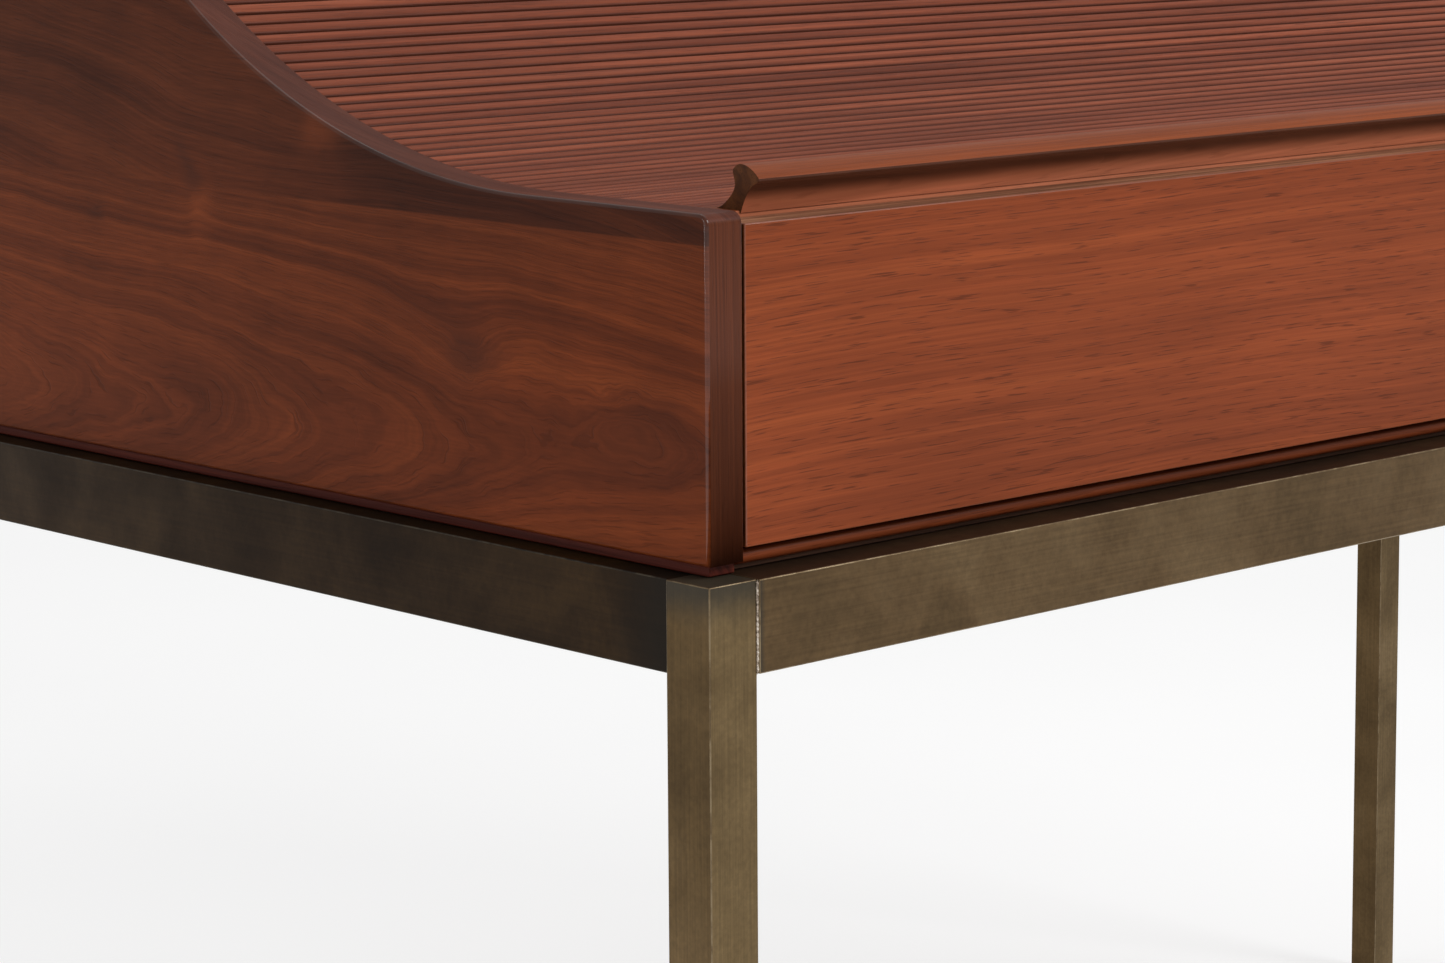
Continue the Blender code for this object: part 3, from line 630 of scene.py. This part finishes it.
# Painted shade on the rails' top faces, beneath the case.
MATERIALS["rail_top"] = bronze("bronze_rail_top", SHADED_RAIL_TOP_TONES, "X")
MATERIALS["side_rail"] = bronze(
    "bronze_side_rail", SIDE_RAIL_TONES, "Y", [("Y", -REACH_Y, 0.020), ("Y", REACH_Y, 0.020)],
    (0.0110, 0.0085, 0.0060),
)
MATERIALS["worn"] = worn_bronze("bronze_worn_arris", (0.24, 0.18, 0.105), (0.120, 0.080, 0.040))
MATERIALS["worn_dark"] = worn_bronze(
    "bronze_dark_arris", (0.060, 0.047, 0.030), (0.018, 0.013, 0.008)
)


# Shapes.

BOX_FACES = (
    (0, 1, 3, 2), (4, 6, 7, 5), (0, 4, 5, 1), (2, 3, 7, 6), (0, 2, 6, 4), (1, 5, 7, 3),
)


def new_object(name, mesh, *materials):
    for material in materials:
        mesh.materials.append(MATERIALS[material])
    obj = bpy.data.objects.new(name, mesh)
    bpy.context.scene.collection.objects.link(obj)
    return obj


def from_bmesh(name, shape, *materials):
    mesh = bpy.data.meshes.new(name)
    bmesh.ops.recalc_face_normals(shape, faces=shape.faces)
    shape.to_mesh(mesh)
    shape.free()
    return new_object(name, mesh, *materials)


def smooth(obj, angle=35):
    obj.data.shade_smooth()
    obj.data.set_sharp_from_angle(angle=radians(angle))


def soften(obj, width, segments=3, arris_slot=-1):
    """Rounds the edges, and keeps the flats flat in the shading."""
    bevel = obj.modifiers.new("arris", "BEVEL")
    bevel.width = width
    bevel.segments = segments
    bevel.limit_method = "ANGLE"
    bevel.angle_limit = radians(40)
    bevel.material = arris_slot
    bevel.harden_normals = True
    smooth(obj, 180)
    weigh = obj.modifiers.new("flats", "WEIGHTED_NORMAL")
    weigh.keep_sharp = True
    return obj


def attach(obj, body, slot, *nodes):
    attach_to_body(obj, body)
    if nodes:
        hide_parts(*nodes)
    return obj


def block(name, low, high, *materials):
    shape = bmesh.new()
    corners = [
        shape.verts.new((x, y, z))
        for x in (low[0], high[0]) for y in (low[1], high[1]) for z in (low[2], high[2])
    ]
    for face in BOX_FACES:
        shape.faces.new([corners[i] for i in face])
    return from_bmesh(name, shape, *materials)


def board(name, node, slot, arris, *materials, body="case", arris_slot=-1):
    """A board in place of a CAD node, with rounded arrises."""
    low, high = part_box(node)
    obj = block(name, low, high, *materials)
    soften(obj, arris, 3, arris_slot)
    return attach(obj, body, slot, node)


def face_material(obj, index, test):
    """Gives the faces whose normals pass a test another of the object's materials."""
    for polygon in obj.data.polygons:
        if test(polygon.normal):
            polygon.material_index = index


def prism(name, outline, x_low, x_high, *materials, steps=1):
    """A flat outline in Y and Z, made solid between two places along X."""
    shape = bmesh.new()
    rings = []
    for x in spaced(x_low, x_high, steps + 1):
        rings.append([shape.verts.new((x, y, z)) for y, z in outline])
    shape.faces.new(rings[0][::-1])
    shape.faces.new(rings[-1])
    for one, two in zip(rings, rings[1:]):
        for i in range(len(outline)):
            j = (i + 1) % len(outline)
            shape.faces.new((one[i], one[j], two[j], two[i]))
    return from_bmesh(name, shape, *materials)


def lathe(name, profile, middle, material, steps=32, axis="Z"):
    """A profile of (radius, height) turned about an axis through middle."""
    shape = bmesh.new()
    rings = []
    for radius, height in profile:
        ring = []
        for i in range(steps if radius > 1e-6 else 1):
            angle = 2 * pi * i / steps
            point = Vector((radius * cos(angle), radius * sin(angle), height))
            if axis == "Y":
                point = Vector((point.x, -point.z, point.y))
            ring.append(shape.verts.new(point + Vector(middle)))
        rings.append(ring)
    for one, two in zip(rings, rings[1:]):
        for i in range(steps):
            j = (i + 1) % steps
            corners = [one[i % len(one)], one[j % len(one)], two[j % len(two)], two[i % len(two)]]
            shape.faces.new(list(dict.fromkeys(corners)))
    obj = from_bmesh(name, shape, material)
    smooth(obj, 40)
    return obj


def rounded_path(points, closed=True, steps=6):
    """A smooth curve through points, by Catmull-Rom."""
    result = []
    count = len(points)
    for i in range(count if closed else count - 1):
        around = [points[(i + k) % count if closed else min(max(i + k, 0), count - 1)]
                  for k in (-1, 0, 1, 2)]
        p0, p1, p2, p3 = (Vector(p) for p in around)
        for step in range(steps):
            t = step / steps
            result.append(
                0.5 * (2 * p1 + (p2 - p0) * t + (2 * p0 - 5 * p1 + 4 * p2 - p3) * t * t
                       + (3 * p1 - p0 - 3 * p2 + p3) * t ** 3)
            )
    if not closed:
        result.append(Vector(points[-1]))
    return [tuple(point) for point in result]


def subtract(obj, *cutters):
    """Cuts shapes out of an object for good, and removes them."""
    for cutter in cutters:
        boolean = obj.modifiers.new("cut", "BOOLEAN")
        boolean.operation = "DIFFERENCE"
        boolean.solver = "EXACT"
        boolean.object = cutter
    bpy.context.view_layer.update()
    evaluated = obj.evaluated_get(bpy.context.evaluated_depsgraph_get())
    mesh = bpy.data.meshes.new_from_object(evaluated)
    obj.modifiers.clear()
    obj.data = mesh
    for cutter in cutters:
        bpy.data.objects.remove(cutter)
    return obj


# The bronze frame.


def make_frame():
    for corner in ("front_left", "front_right", "rear_left", "rear_right"):
        leg = board(
            f"bronze_leg_{corner}", f"leg_{corner}", "bronze", 0.0004, "leg", "worn",
            "leg_side", arris_slot=1,
        )
        # The faces that look sideways take the painted shade.
        face_material(leg, 2, lambda normal: abs(normal.x) > 0.9)
        low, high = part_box(f"glide_{corner}")
        radius, tall = (high.x - low.x) / 2, high.z - low.z
        glide = lathe(
            f"nylon_glide_{corner}",
            [(0, 0), (radius - 0.0016, 0), (radius - 0.0006, 0.0004), (radius, 0.0014),
             (radius, tall), (0, tall)],
            ((low.x + high.x) / 2, (low.y + high.y) / 2, 0.0), "nylon",
        )
        attach(glide, "case", "glide", f"glide_{corner}")
    for side in ("front", "rear"):
        rail = board(
            f"bronze_rail_{side}", f"rail_{side}", "bronze", 0.0005, "front_rail", "worn",
            "rail_top", arris_slot=1,
        )
        # The top faces take the painted shade.
        face_material(rail, 2, lambda normal: normal.z > 0.9)
        board(f"spacer_strip_{side}", f"strip_{side}", "dark_strip", 0.0006,
              "end_strip")
    for side in ("left", "right"):
        make_side_rail(side)
    for side in (-1, 1):
        for end in (-1, 1):
            make_welds(side, end)


def make_side_rail(side):
    low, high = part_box(f"rail_{side}")
    rail = block(f"bronze_rail_{side}", low, high, "side_rail", "worn_dark")
    soften(rail, 0.0005, 3, 1)
    cutters = []
    for end in ("front", "rear"):
        b_low, b_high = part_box(f"bolt_{end}_{side}")
        middle = (b_low + b_high) / 2
        wide = (b_high.x - b_low.x) / 2
        well = [(0, -0.002), (wide + 0.0008, -0.002), (wide + 0.0008, 0.006), (0, 0.006)]
        cutters.append(lathe("well", well, (middle.x, middle.y, low.z), "side_rail"))
        make_bolt(f"{end}_{side}", middle, wide, b_low.z)
    subtract(rail, *cutters)
    rail.data.set_sharp_from_angle(angle=radians(35))
    attach(rail, "case", "bronze", f"rail_{side}")


def make_bolt(label, middle, wide, foot):
    """A round-headed bolt with a six-sided socket, deep in the rail's foot."""
    head = lathe(
        f"bolt_{label}_head",
        [(0, 0), (wide - 0.0006, 0), (wide, 0.0006), (wide, 0.0045), (0, 0.0045)],
        (middle.x, middle.y, foot), "leg", 24,
    )
    socket = lathe(
        "socket", [(0, -0.001), (0.0025, -0.001), (0.0025, 0.0026), (0, 0.0026)],
        (middle.x, middle.y, foot), "leg", 6,
    )
    subtract(head, socket)
    head.data.set_sharp_from_angle(angle=radians(40))
    attach(head, "case", "bronze", f"bolt_{label}")


BEAD_STEP = 0.0007
BEAD_SIDES = 8


def bead(name, start, end, radius, lump):
    """A rough run of weld from one point to another."""
    shape = bmesh.new()
    rings = []
    start, end = Vector(start), Vector(end)
    count = max(6, int((end - start).length / BEAD_STEP))
    way = (end - start).normalized()
    one = way.orthogonal().normalized()
    two = way.cross(one)
    for i in range(count + 1):
        here = start.lerp(end, i / count)
        swell = radius * (0.75 + 0.35 * abs(sin(i * 1.1)) + lump * noise.noise(here * 900))
        if i in (0, count):
            swell *= 0.3
        ring = []
        for step in range(BEAD_SIDES):
            angle = 2 * pi * step / BEAD_SIDES
            arm = swell * (1 + 0.3 * noise.noise(here * 1700 + Vector((step, 0, 0))))
            ring.append(shape.verts.new(here + (one * cos(angle) + two * sin(angle)) * arm))
        rings.append(ring)
    for a, b in zip(rings, rings[1:]):
        for i in range(BEAD_SIDES):
            j = (i + 1) % BEAD_SIDES
            shape.faces.new((a[i], a[j], b[j], b[i]))
    shape.faces.new(rings[0][::-1])
    shape.faces.new(rings[-1])
    obj = from_bmesh(name, shape, "weld")
    smooth(obj, 60)
    return obj


def make_welds(side, end):
    """Beads where a front or rear rail and a side rail meet their leg."""
    where = ("front" if end < 0 else "rear") + ("_left" if side < 0 else "_right")
    rail_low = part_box("rail_front")[0].z
    seam_x = side * REACH_X
    face_y = end * (-FRAME_LOW.y + 0.0002)
    top = FRAME_TOP - 0.0003
    foot, under = rail_low + 0.0003, rail_low + 0.0002
    face = bead(
        f"weld_face_{where}", (seam_x, face_y, top), (seam_x, face_y, foot), 0.0005, 0.5
    )
    attach(face, "case", "bronze")
    below = bead(
        f"weld_under_{where}", (seam_x, face_y, under),
        (seam_x, face_y - end * BAR * 0.95, under), 0.0007, 0.4,
    )
    attach(below, "case", "bronze")
    seam_y = end * REACH_Y
    face_x = side * (-FRAME_LOW.x - 0.0009)
    inner = bead(
        f"weld_side_{where}", (face_x, seam_y, top), (face_x, seam_y, foot), 0.0003, 0.5
    )
    inner.data.materials[0] = MATERIALS["side_rail"]
    attach(inner, "case", "bronze")


# The case.


OUTER_ARRIS = 0.0012
INNER_ARRIS = 0.0006


def side_outline():
    """Foot, rear edge, the flowing upper edge, then the front with its rounded corner."""
    nose = 0.0042
    hollow_end = EDGE_FLAT + EDGE[1][0]
    crown_start = hollow_end + EDGE_STRAIGHT
    steps = spaced(EDGE_FLAT, hollow_end, 41) + spaced(crown_start, total(EDGE), 29)
    upper = [follow((CASE_FRONT, SIDE_TOP), EDGE, distance)[:2] for distance in steps]
    corner = [
        (CASE_FRONT + nose * (1 - sin(a)), SIDE_TOP - nose * (1 - cos(a)))
        for a in spaced(pi / 2, 0.0, 9)
    ]
    foot = [(CASE_FRONT, SIDE_FOOT), (CASE_REAR, SIDE_FOOT)]
    return foot + [(CASE_REAR, CASE_TOP)] + upper[::-1] + corner[::-1]


def groove_outline():
    distances, done = [0.0], 0.0
    for length, turn in TRACK:
        count = 2 if turn == 0 else 2 + int(abs(turn) / radians(2))
        distances += spaced(done, done + length, count)[1:]
        done += length
    places = [(TRACK_ORIGIN[0] - 0.009, TRACK_ORIGIN[1], 0.0)] + [track(d) for d in distances]
    above = [offset(place, GROOVE_HALF) for place in places]
    return [offset(place, -GROOVE_HALF) for place in places] + above[::-1]


def weigh_edges(obj, weight):
    """Sets how far each edge is rounded, as a part of the bevel's width."""
    mesh = obj.data
    layer = mesh.attributes.new("bevel_weight_edge", "FLOAT", "EDGE")
    for edge in mesh.edges:
        layer.data[edge.index].value = weight(*(mesh.vertices[i].co for i in edge.vertices))


def side_edge_weight(a, b):
    """Full on the outer face, less on the inner face, and nothing across the thickness."""
    if abs(a.x - b.x) > 1e-4:
        return 0.0
    return 1.0 if abs(a.x) > INNER + 0.001 else INNER_ARRIS / OUTER_ARRIS


def make_sides():
    for name, side in (("left", -1), ("right", 1)):
        x0, x1 = sorted((-side * CASE_LEFT, side * INNER))
        panel = prism(
            f"walnut_side_{name}", side_outline(), x0, x1,
            "side", "side_arris", "side_edge", "side_front",
        )
        face_material(panel, 3, lambda normal: normal.y < -0.9)
        # The upward-facing faces take the top edge's painted sheen.
        face_material(panel, 2, lambda normal: -0.9 <= normal.y and normal.z > 0.3)
        weigh_edges(panel, side_edge_weight)
        soften(panel, OUTER_ARRIS, 4, 1).modifiers["arris"].limit_method = "WEIGHT"
        g0, g1 = sorted((side * (INNER + GROOVE_DEPTH), side * (INNER - 0.01)))
        subtract(panel, prism("groove", groove_outline(), g0, g1, "side"))
        attach(panel, "case", "walnut_side", f"side_{name}")
        board(f"spacer_strip_{name}", f"strip_{name}", "dark_strip", 0.0006, "strip")


def make_boards():
    low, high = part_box("bottom_board")
    radius = LIP_HEIGHT / 2
    middle = (CASE_FRONT + LIP_SET_BACK + radius, low.z + radius)
    lip = [(middle[0] - radius * sin(a), middle[1] - radius * cos(a)) for a in spaced(0.0, pi, 13)]
    behind = CASE_FRONT + FRONT_REAR_FACE
    step = [(behind, low.z + LIP_HEIGHT), (behind, high.z)]
    outline = [(high.y, low.z)] + lip + step + [(high.y, high.z)]
    bottom = prism("walnut_bottom_board", outline, low.x, high.x, "under")
    soften(bottom, 0.0006, 2)
    attach(bottom, "case", "walnut_inside", "bottom_board")
    board("walnut_writing_surface", "writing_surface", "walnut_inside", 0.0012, "inside")
    board("walnut_back_panel", "back_panel", "walnut_side", 0.0010, "side_cross")
    low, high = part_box("top_board")
    radius = (high.z - low.z) / 2
    nose_y = low.y + radius
    nose = [
        (nose_y - radius * sin(a), high.z - radius + radius * cos(a)) for a in spaced(0.0, pi, 25)
    ]
    outline = [(high.y, high.z)] + nose + [(high.y, low.z)]
    top = prism("walnut_top_board", outline, low.x, high.x, "side_cross")
    soften(top, 0.0008, 2)
    attach(top, "case", "walnut_side", "top_board")


def make_drawers():
    for index in (1, 2):
        board(f"walnut_drawer_divider_{index}", f"drawer_divider_{index}", "walnut_inside",
              0.0008, "inside_y")
    for bay in ("left", "middle", "right"):
        front = board(
            f"walnut_drawer_front_{bay}", f"drawer_front_{bay}", "walnut_front", 0.0005,
            "front", "raw_edge", "end", "front_arris", body=f"drawer_{bay}", arris_slot=3,
        )
        face_material(front, 1, lambda normal: normal.z > 0.9)
        face_material(front, 2, lambda normal: abs(normal.x) > 0.9)
        make_tray(f"maple_drawer_{bay}", f"drawer_box_{bay}", f"drawer_{bay}", "drawer_wood",
                  0.011, 0.007, ("maple", "maple_x", "maple_end"))


def make_tray(name, node, body, slot, wall, floor, materials):
    """A drawer's box: two sides dovetailed to a front and a back, and a floor."""
    low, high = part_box(node)
    sides = block(name, low, high, *materials)
    hollow = block(
        "hollow", (low.x + wall, low.y + wall, low.z + floor),
        (high.x - wall, high.y - wall, high.z + 0.01), *materials,
    )
    subtract(sides, hollow)
    face_material(sides, 1, lambda normal: abs(normal.y) > 0.9)
    soften(sides, 0.0010, 3)
    attach(sides, body, slot, node)
    make_tails(name, low, high, wall, body, slot)


def make_tails(name, low, high, wall, body, slot):
    """The dovetails' end grain, let into the front and back of a drawer's box."""
    count = max(2, round((high.z - low.z) / 0.019))
    pitch = (high.z - low.z) / count
    shape = bmesh.new()
    for y, out in ((low.y, -1), (high.y, 1)):
        for x, inward in ((low.x, 1), (high.x, -1)):
            for i in range(count):
                middle = low.z + pitch * (i + 0.5)
                wide, narrow = pitch * 0.36, pitch * 0.24
                near, far = x + inward * 0.0008, x + inward * wall
                outer, inner = y + out * 0.00012, y - out * 0.002
                rings = [
                    [shape.verts.new(point) for point in (
                        (near, at, middle - narrow), (far, at, middle - wide),
                        (far, at, middle + wide), (near, at, middle + narrow),
                    )]
                    for at in (outer, inner)
                ]
                shape.faces.new(rings[0])
                shape.faces.new(rings[1][::-1])
                for a in range(4):
                    b = (a + 1) % 4
                    shape.faces.new((rings[0][a], rings[1][a], rings[1][b], rings[0][b]))
    tails = from_bmesh(f"{name}_dovetails", shape, "maple_end")
    attach(tails, body, slot)


def make_gallery():
    board("walnut_gallery_top", "gallery_top", "walnut_inside", 0.0014, "inside")
    board("walnut_gallery_back", "gallery_back", "walnut_inside", 0.0006, "inside")
    board("walnut_gallery_shelf", "gallery_shelf", "walnut_inside", 0.0014, "inside")
    for node in ("gallery_end_left", "gallery_end_right", "gallery_post_1", "gallery_post_2",
                 "pigeonhole_divider_1", "pigeonhole_divider_2", "pigeonhole_divider_3"):
        board(f"walnut_{node}", node, "walnut_inside", 0.0014, "inside_z")
    for side in ("left", "right"):
        body = f"small_drawer_{side}"
        make_tray(f"walnut_small_drawer_{side}", body, body, "walnut_front", 0.0065, 0.006,
                  ("inside_y", "front", "end"))
        make_knob(side, body)


def make_knob(side, body):
    low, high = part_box(f"knob_{side}")
    radius, length = (high.x - low.x) / 2, high.y - low.y
    stem = [(0.0, 0.0), (radius * 0.72, 0.0), (radius * 0.70, length * 0.05),
            (radius * 0.50, length * 0.18), (radius * 0.48, length * 0.36),
            (radius * 0.62, length * 0.50), (radius * 0.92, length * 0.62)]
    crown = [(radius * cos(a), length * (0.74 + 0.26 * sin(a))) for a in spaced(0.0, pi / 2, 9)]
    middle = ((low.x + high.x) / 2, high.y, (low.z + high.z) / 2)
    knob = lathe(f"brass_knob_{side}", stem + crown, middle, "brass", 40, "Y")
    attach(knob, body, "knob_brass", f"knob_{side}")


# The tambour.

# The lead slat's section: (back from the case front, above the sides' front edge).
LEAD_PULL = [
    (0.0178, -0.0044),
    (0.0163, -0.0005),
    (0.0143, 0.0033),
    (0.0115, 0.0065),
    (0.0087, 0.0082),
    (0.0081, 0.0091),
    (0.0087, 0.0102),
    (0.0114, 0.0123),
    (0.0147, 0.0138),
    (0.0178, 0.0141),
    (0.0201, 0.0131),
    (0.0213, 0.0115),
    (0.0208, 0.0093),
    (0.0203, 0.0065),
    (0.0216, 0.0037),
    (0.0241, 0.0011),
    (0.0270, -0.0011),
    (0.0298, -0.0022),
]


def make_lead():
    """The pull, which stops short of the sides, on a flat foot that reaches them."""
    foot = -TRACK_BELOW_EDGE - SLAT_HALF
    foot_top = -TRACK_BELOW_EDGE + SLAT_HALF
    back = TRACK_START + LEAD_WIDTH / 2 - 0.00015
    front = TRACK_START - LEAD_WIDTH / 2
    pull = rounded_path(LEAD_PULL, closed=False, steps=5)
    pull = [point for point in pull if point[1] > foot_top - 0.001]
    low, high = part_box("lead_slat")
    parts = (
        ("pull", [(front, foot_top - 0.001)] + pull, PULL_FROM_SIDE),
        ("foot", [(front, foot), (front, foot_top), (back, foot_top), (back, foot)], 0.0),
    )
    for part, outline, inset in parts:
        outline = [(CASE_FRONT + y, SIDE_TOP + z) for y, z in outline[::-1]]
        made = prism(
            f"walnut_lead_{part}", outline, low.x + inset, high.x - inset,
            "lead", "end", "lead_cove",
        )
        # The faces under the nose take the cove's painted light and shade.
        face_material(made, 2, lambda normal: normal.y < -0.3 and normal.z < 0.25)
        face_material(made, 1, lambda normal: abs(normal.x) > 0.9)
        made.data.shade_smooth()
        soften(made, 0.0005, 2)
        attach(made, "lead_slat", "walnut_front", "lead_slat")


# A slat's section: part of the pitch, and height above the track.
SLAT_CROWN = (
    (0.055, 0.0004), (0.055, 0.0018), (0.070, 0.0023), (0.100, 0.0027), (0.150, 0.0030),
    (0.220, 0.00322), (0.320, 0.00340), (0.430, 0.0035), (0.570, 0.0035), (0.680, 0.00340),
    (0.780, 0.00322), (0.850, 0.0030), (0.900, 0.0027), (0.930, 0.0023), (0.945, 0.0018),
    (0.945, 0.0004),
)


# What the slats' and the canvas's materials read from the mesh.
SWEPT_ATTRIBUTES = ("tone", "girth", "height")
GIRTH_FOR_HEIGHT = 0.6


def swept(shape, lines, x_low, x_high, attributes):
    """Faces between lines of (distance, height) along the track, closed at both ends."""
    tone_layer, girth_layer, height_layer = attributes
    ring_low, ring_high = [], []
    for distance, height, tone in lines:
        y, z = offset(track(distance), height)
        for x, ring in ((x_low, ring_low), (x_high, ring_high)):
            vert = shape.verts.new((x, y, z))
            vert[tone_layer] = tone
            vert[girth_layer] = distance + height * GIRTH_FOR_HEIGHT
            vert[height_layer] = height
            ring.append(vert)
    shape.faces.new(ring_low)
    shape.faces.new(ring_high[::-1])
    for i in range(len(lines)):
        j = (i + 1) % len(lines)
        shape.faces.new((ring_low[i], ring_high[i], ring_high[j], ring_low[j]))


def make_section(index):
    body = f"tambour_section_{index + 1:02d}"
    length = SLATS_PER_SECTION * SLAT_PITCH
    start = LEAD_WIDTH / 2 + index * length
    reach = INNER + TONGUE
    shape = bmesh.new()
    layers = [shape.verts.layers.float.new(name) for name in SWEPT_ATTRIBUTES]
    for slat in range(SLATS_PER_SECTION):
        first = start + slat * SLAT_PITCH
        tone = random.random()
        wobble = random.uniform(-0.012, 0.012)
        drop = random.uniform(-0.00012, 0.0)
        lines = [
            (first + (part + wobble) * SLAT_PITCH, height + drop, tone)
            for part, height in SLAT_CROWN
        ]
        lines += [
            (first + part * SLAT_PITCH, -0.0029, tone) for part in (0.945, 0.5, 0.055)
        ]
        swept(shape, lines, -reach, reach, layers)
    slats = from_bmesh(f"walnut_slats_{index + 1:02d}", shape, "slat")
    smooth(slats, 50)
    attach(slats, body, "walnut_slat", body)
    make_canvas(index, start, length, body)


def make_canvas(index, start, length, body):
    """The cloth that the slats are glued to, just under them."""
    shape = bmesh.new()
    layers = [shape.verts.layers.float.new(name) for name in SWEPT_ATTRIBUTES]
    steps = spaced(start + 0.0002, start + length - 0.0002, 15)
    lines = [(distance, -0.0027, 0.5) for distance in steps]
    lines += [(distance, -SLAT_HALF, 0.5) for distance in reversed(steps)]
    reach = INNER - 0.012
    swept(shape, lines, -reach, reach, layers)
    cloth = from_bmesh(f"canvas_{index + 1:02d}", shape, "canvas")
    smooth(cloth, 50)
    attach(cloth, body, "walnut_slat")


# Camera, lights and floor.

LENS = 99.85
SHIFT = (-0.13, -0.12)
CAMERA_FROM_CORNER = Vector((-0.9100, -0.9899, 0.2726))
CAMERA_DOWN = 7.473
CAMERA_HEADING = -45.514
DAYLIGHT = 0.46
# Each light: name, place, what it points at, width and height, watts.
LIGHTS = (
    ("overhead", (0.3, 0.2, 3.2), (0, 0, 0.7), (2.6, 2.0), 12),
    ("front_key", (0.9, -2.9, 3.0), (0, 0, 0.65), (2.2, 1.4), 86),
    ("left_fill", (-3.6, -0.4, 1.3), (0, 0, 0.7), (1.6, 1.4), 6),
    ("left_strip", (-3.2, 0.5, 0.9), (-0.7, -0.4, 0.7), (0.04, 1.8), 8),
)
FLOOR_REACH = 14.0


def make_camera():
    data = bpy.data.cameras.new("camera")
    data.sensor_width = 36.0
    data.lens = LENS
    data.shift_x, data.shift_y = SHIFT
    camera = bpy.data.objects.new("camera", data)
    bpy.context.scene.collection.objects.link(camera)
    camera.location = NEAR_CORNER + CAMERA_FROM_CORNER
    camera.rotation_euler = (radians(90 - CAMERA_DOWN), 0.0, radians(CAMERA_HEADING))
    bpy.context.scene.camera = camera


def area_light(name, place, target, size, power):
    data = bpy.data.lights.new(name, "AREA")
    data.shape = "RECTANGLE"
    data.size, data.size_y = size
    data.energy = power
    light = bpy.data.objects.new(name, data)
    bpy.context.scene.collection.objects.link(light)
    light.location = place
    way = Vector(target) - Vector(place)
    light.rotation_euler = way.to_track_quat("-Z", "Y").to_euler()


def make_studio():
    scene = bpy.context.scene
    scene.view_settings.view_transform = "Standard"
    world = bpy.data.worlds.new("studio")
    world.use_nodes = True
    backdrop = world.node_tree.nodes["Background"]
    backdrop.inputs["Color"].default_value = (1.0, 1.0, 1.0, 1.0)
    backdrop.inputs["Strength"].default_value = DAYLIGHT
    scene.world = world
    for light in LIGHTS:
        area_light(*light)
    shape = bmesh.new()
    bmesh.ops.create_grid(shape, x_segments=8, y_segments=8, size=FLOOR_REACH)
    MATERIALS["floor"] = pale_floor()
    floor = from_bmesh("floor", shape, "floor")


make_camera()
make_studio()
make_frame()
make_sides()
make_boards()
make_drawers()
make_gallery()
make_lead()
for number in range(SECTIONS):
    make_section(number)
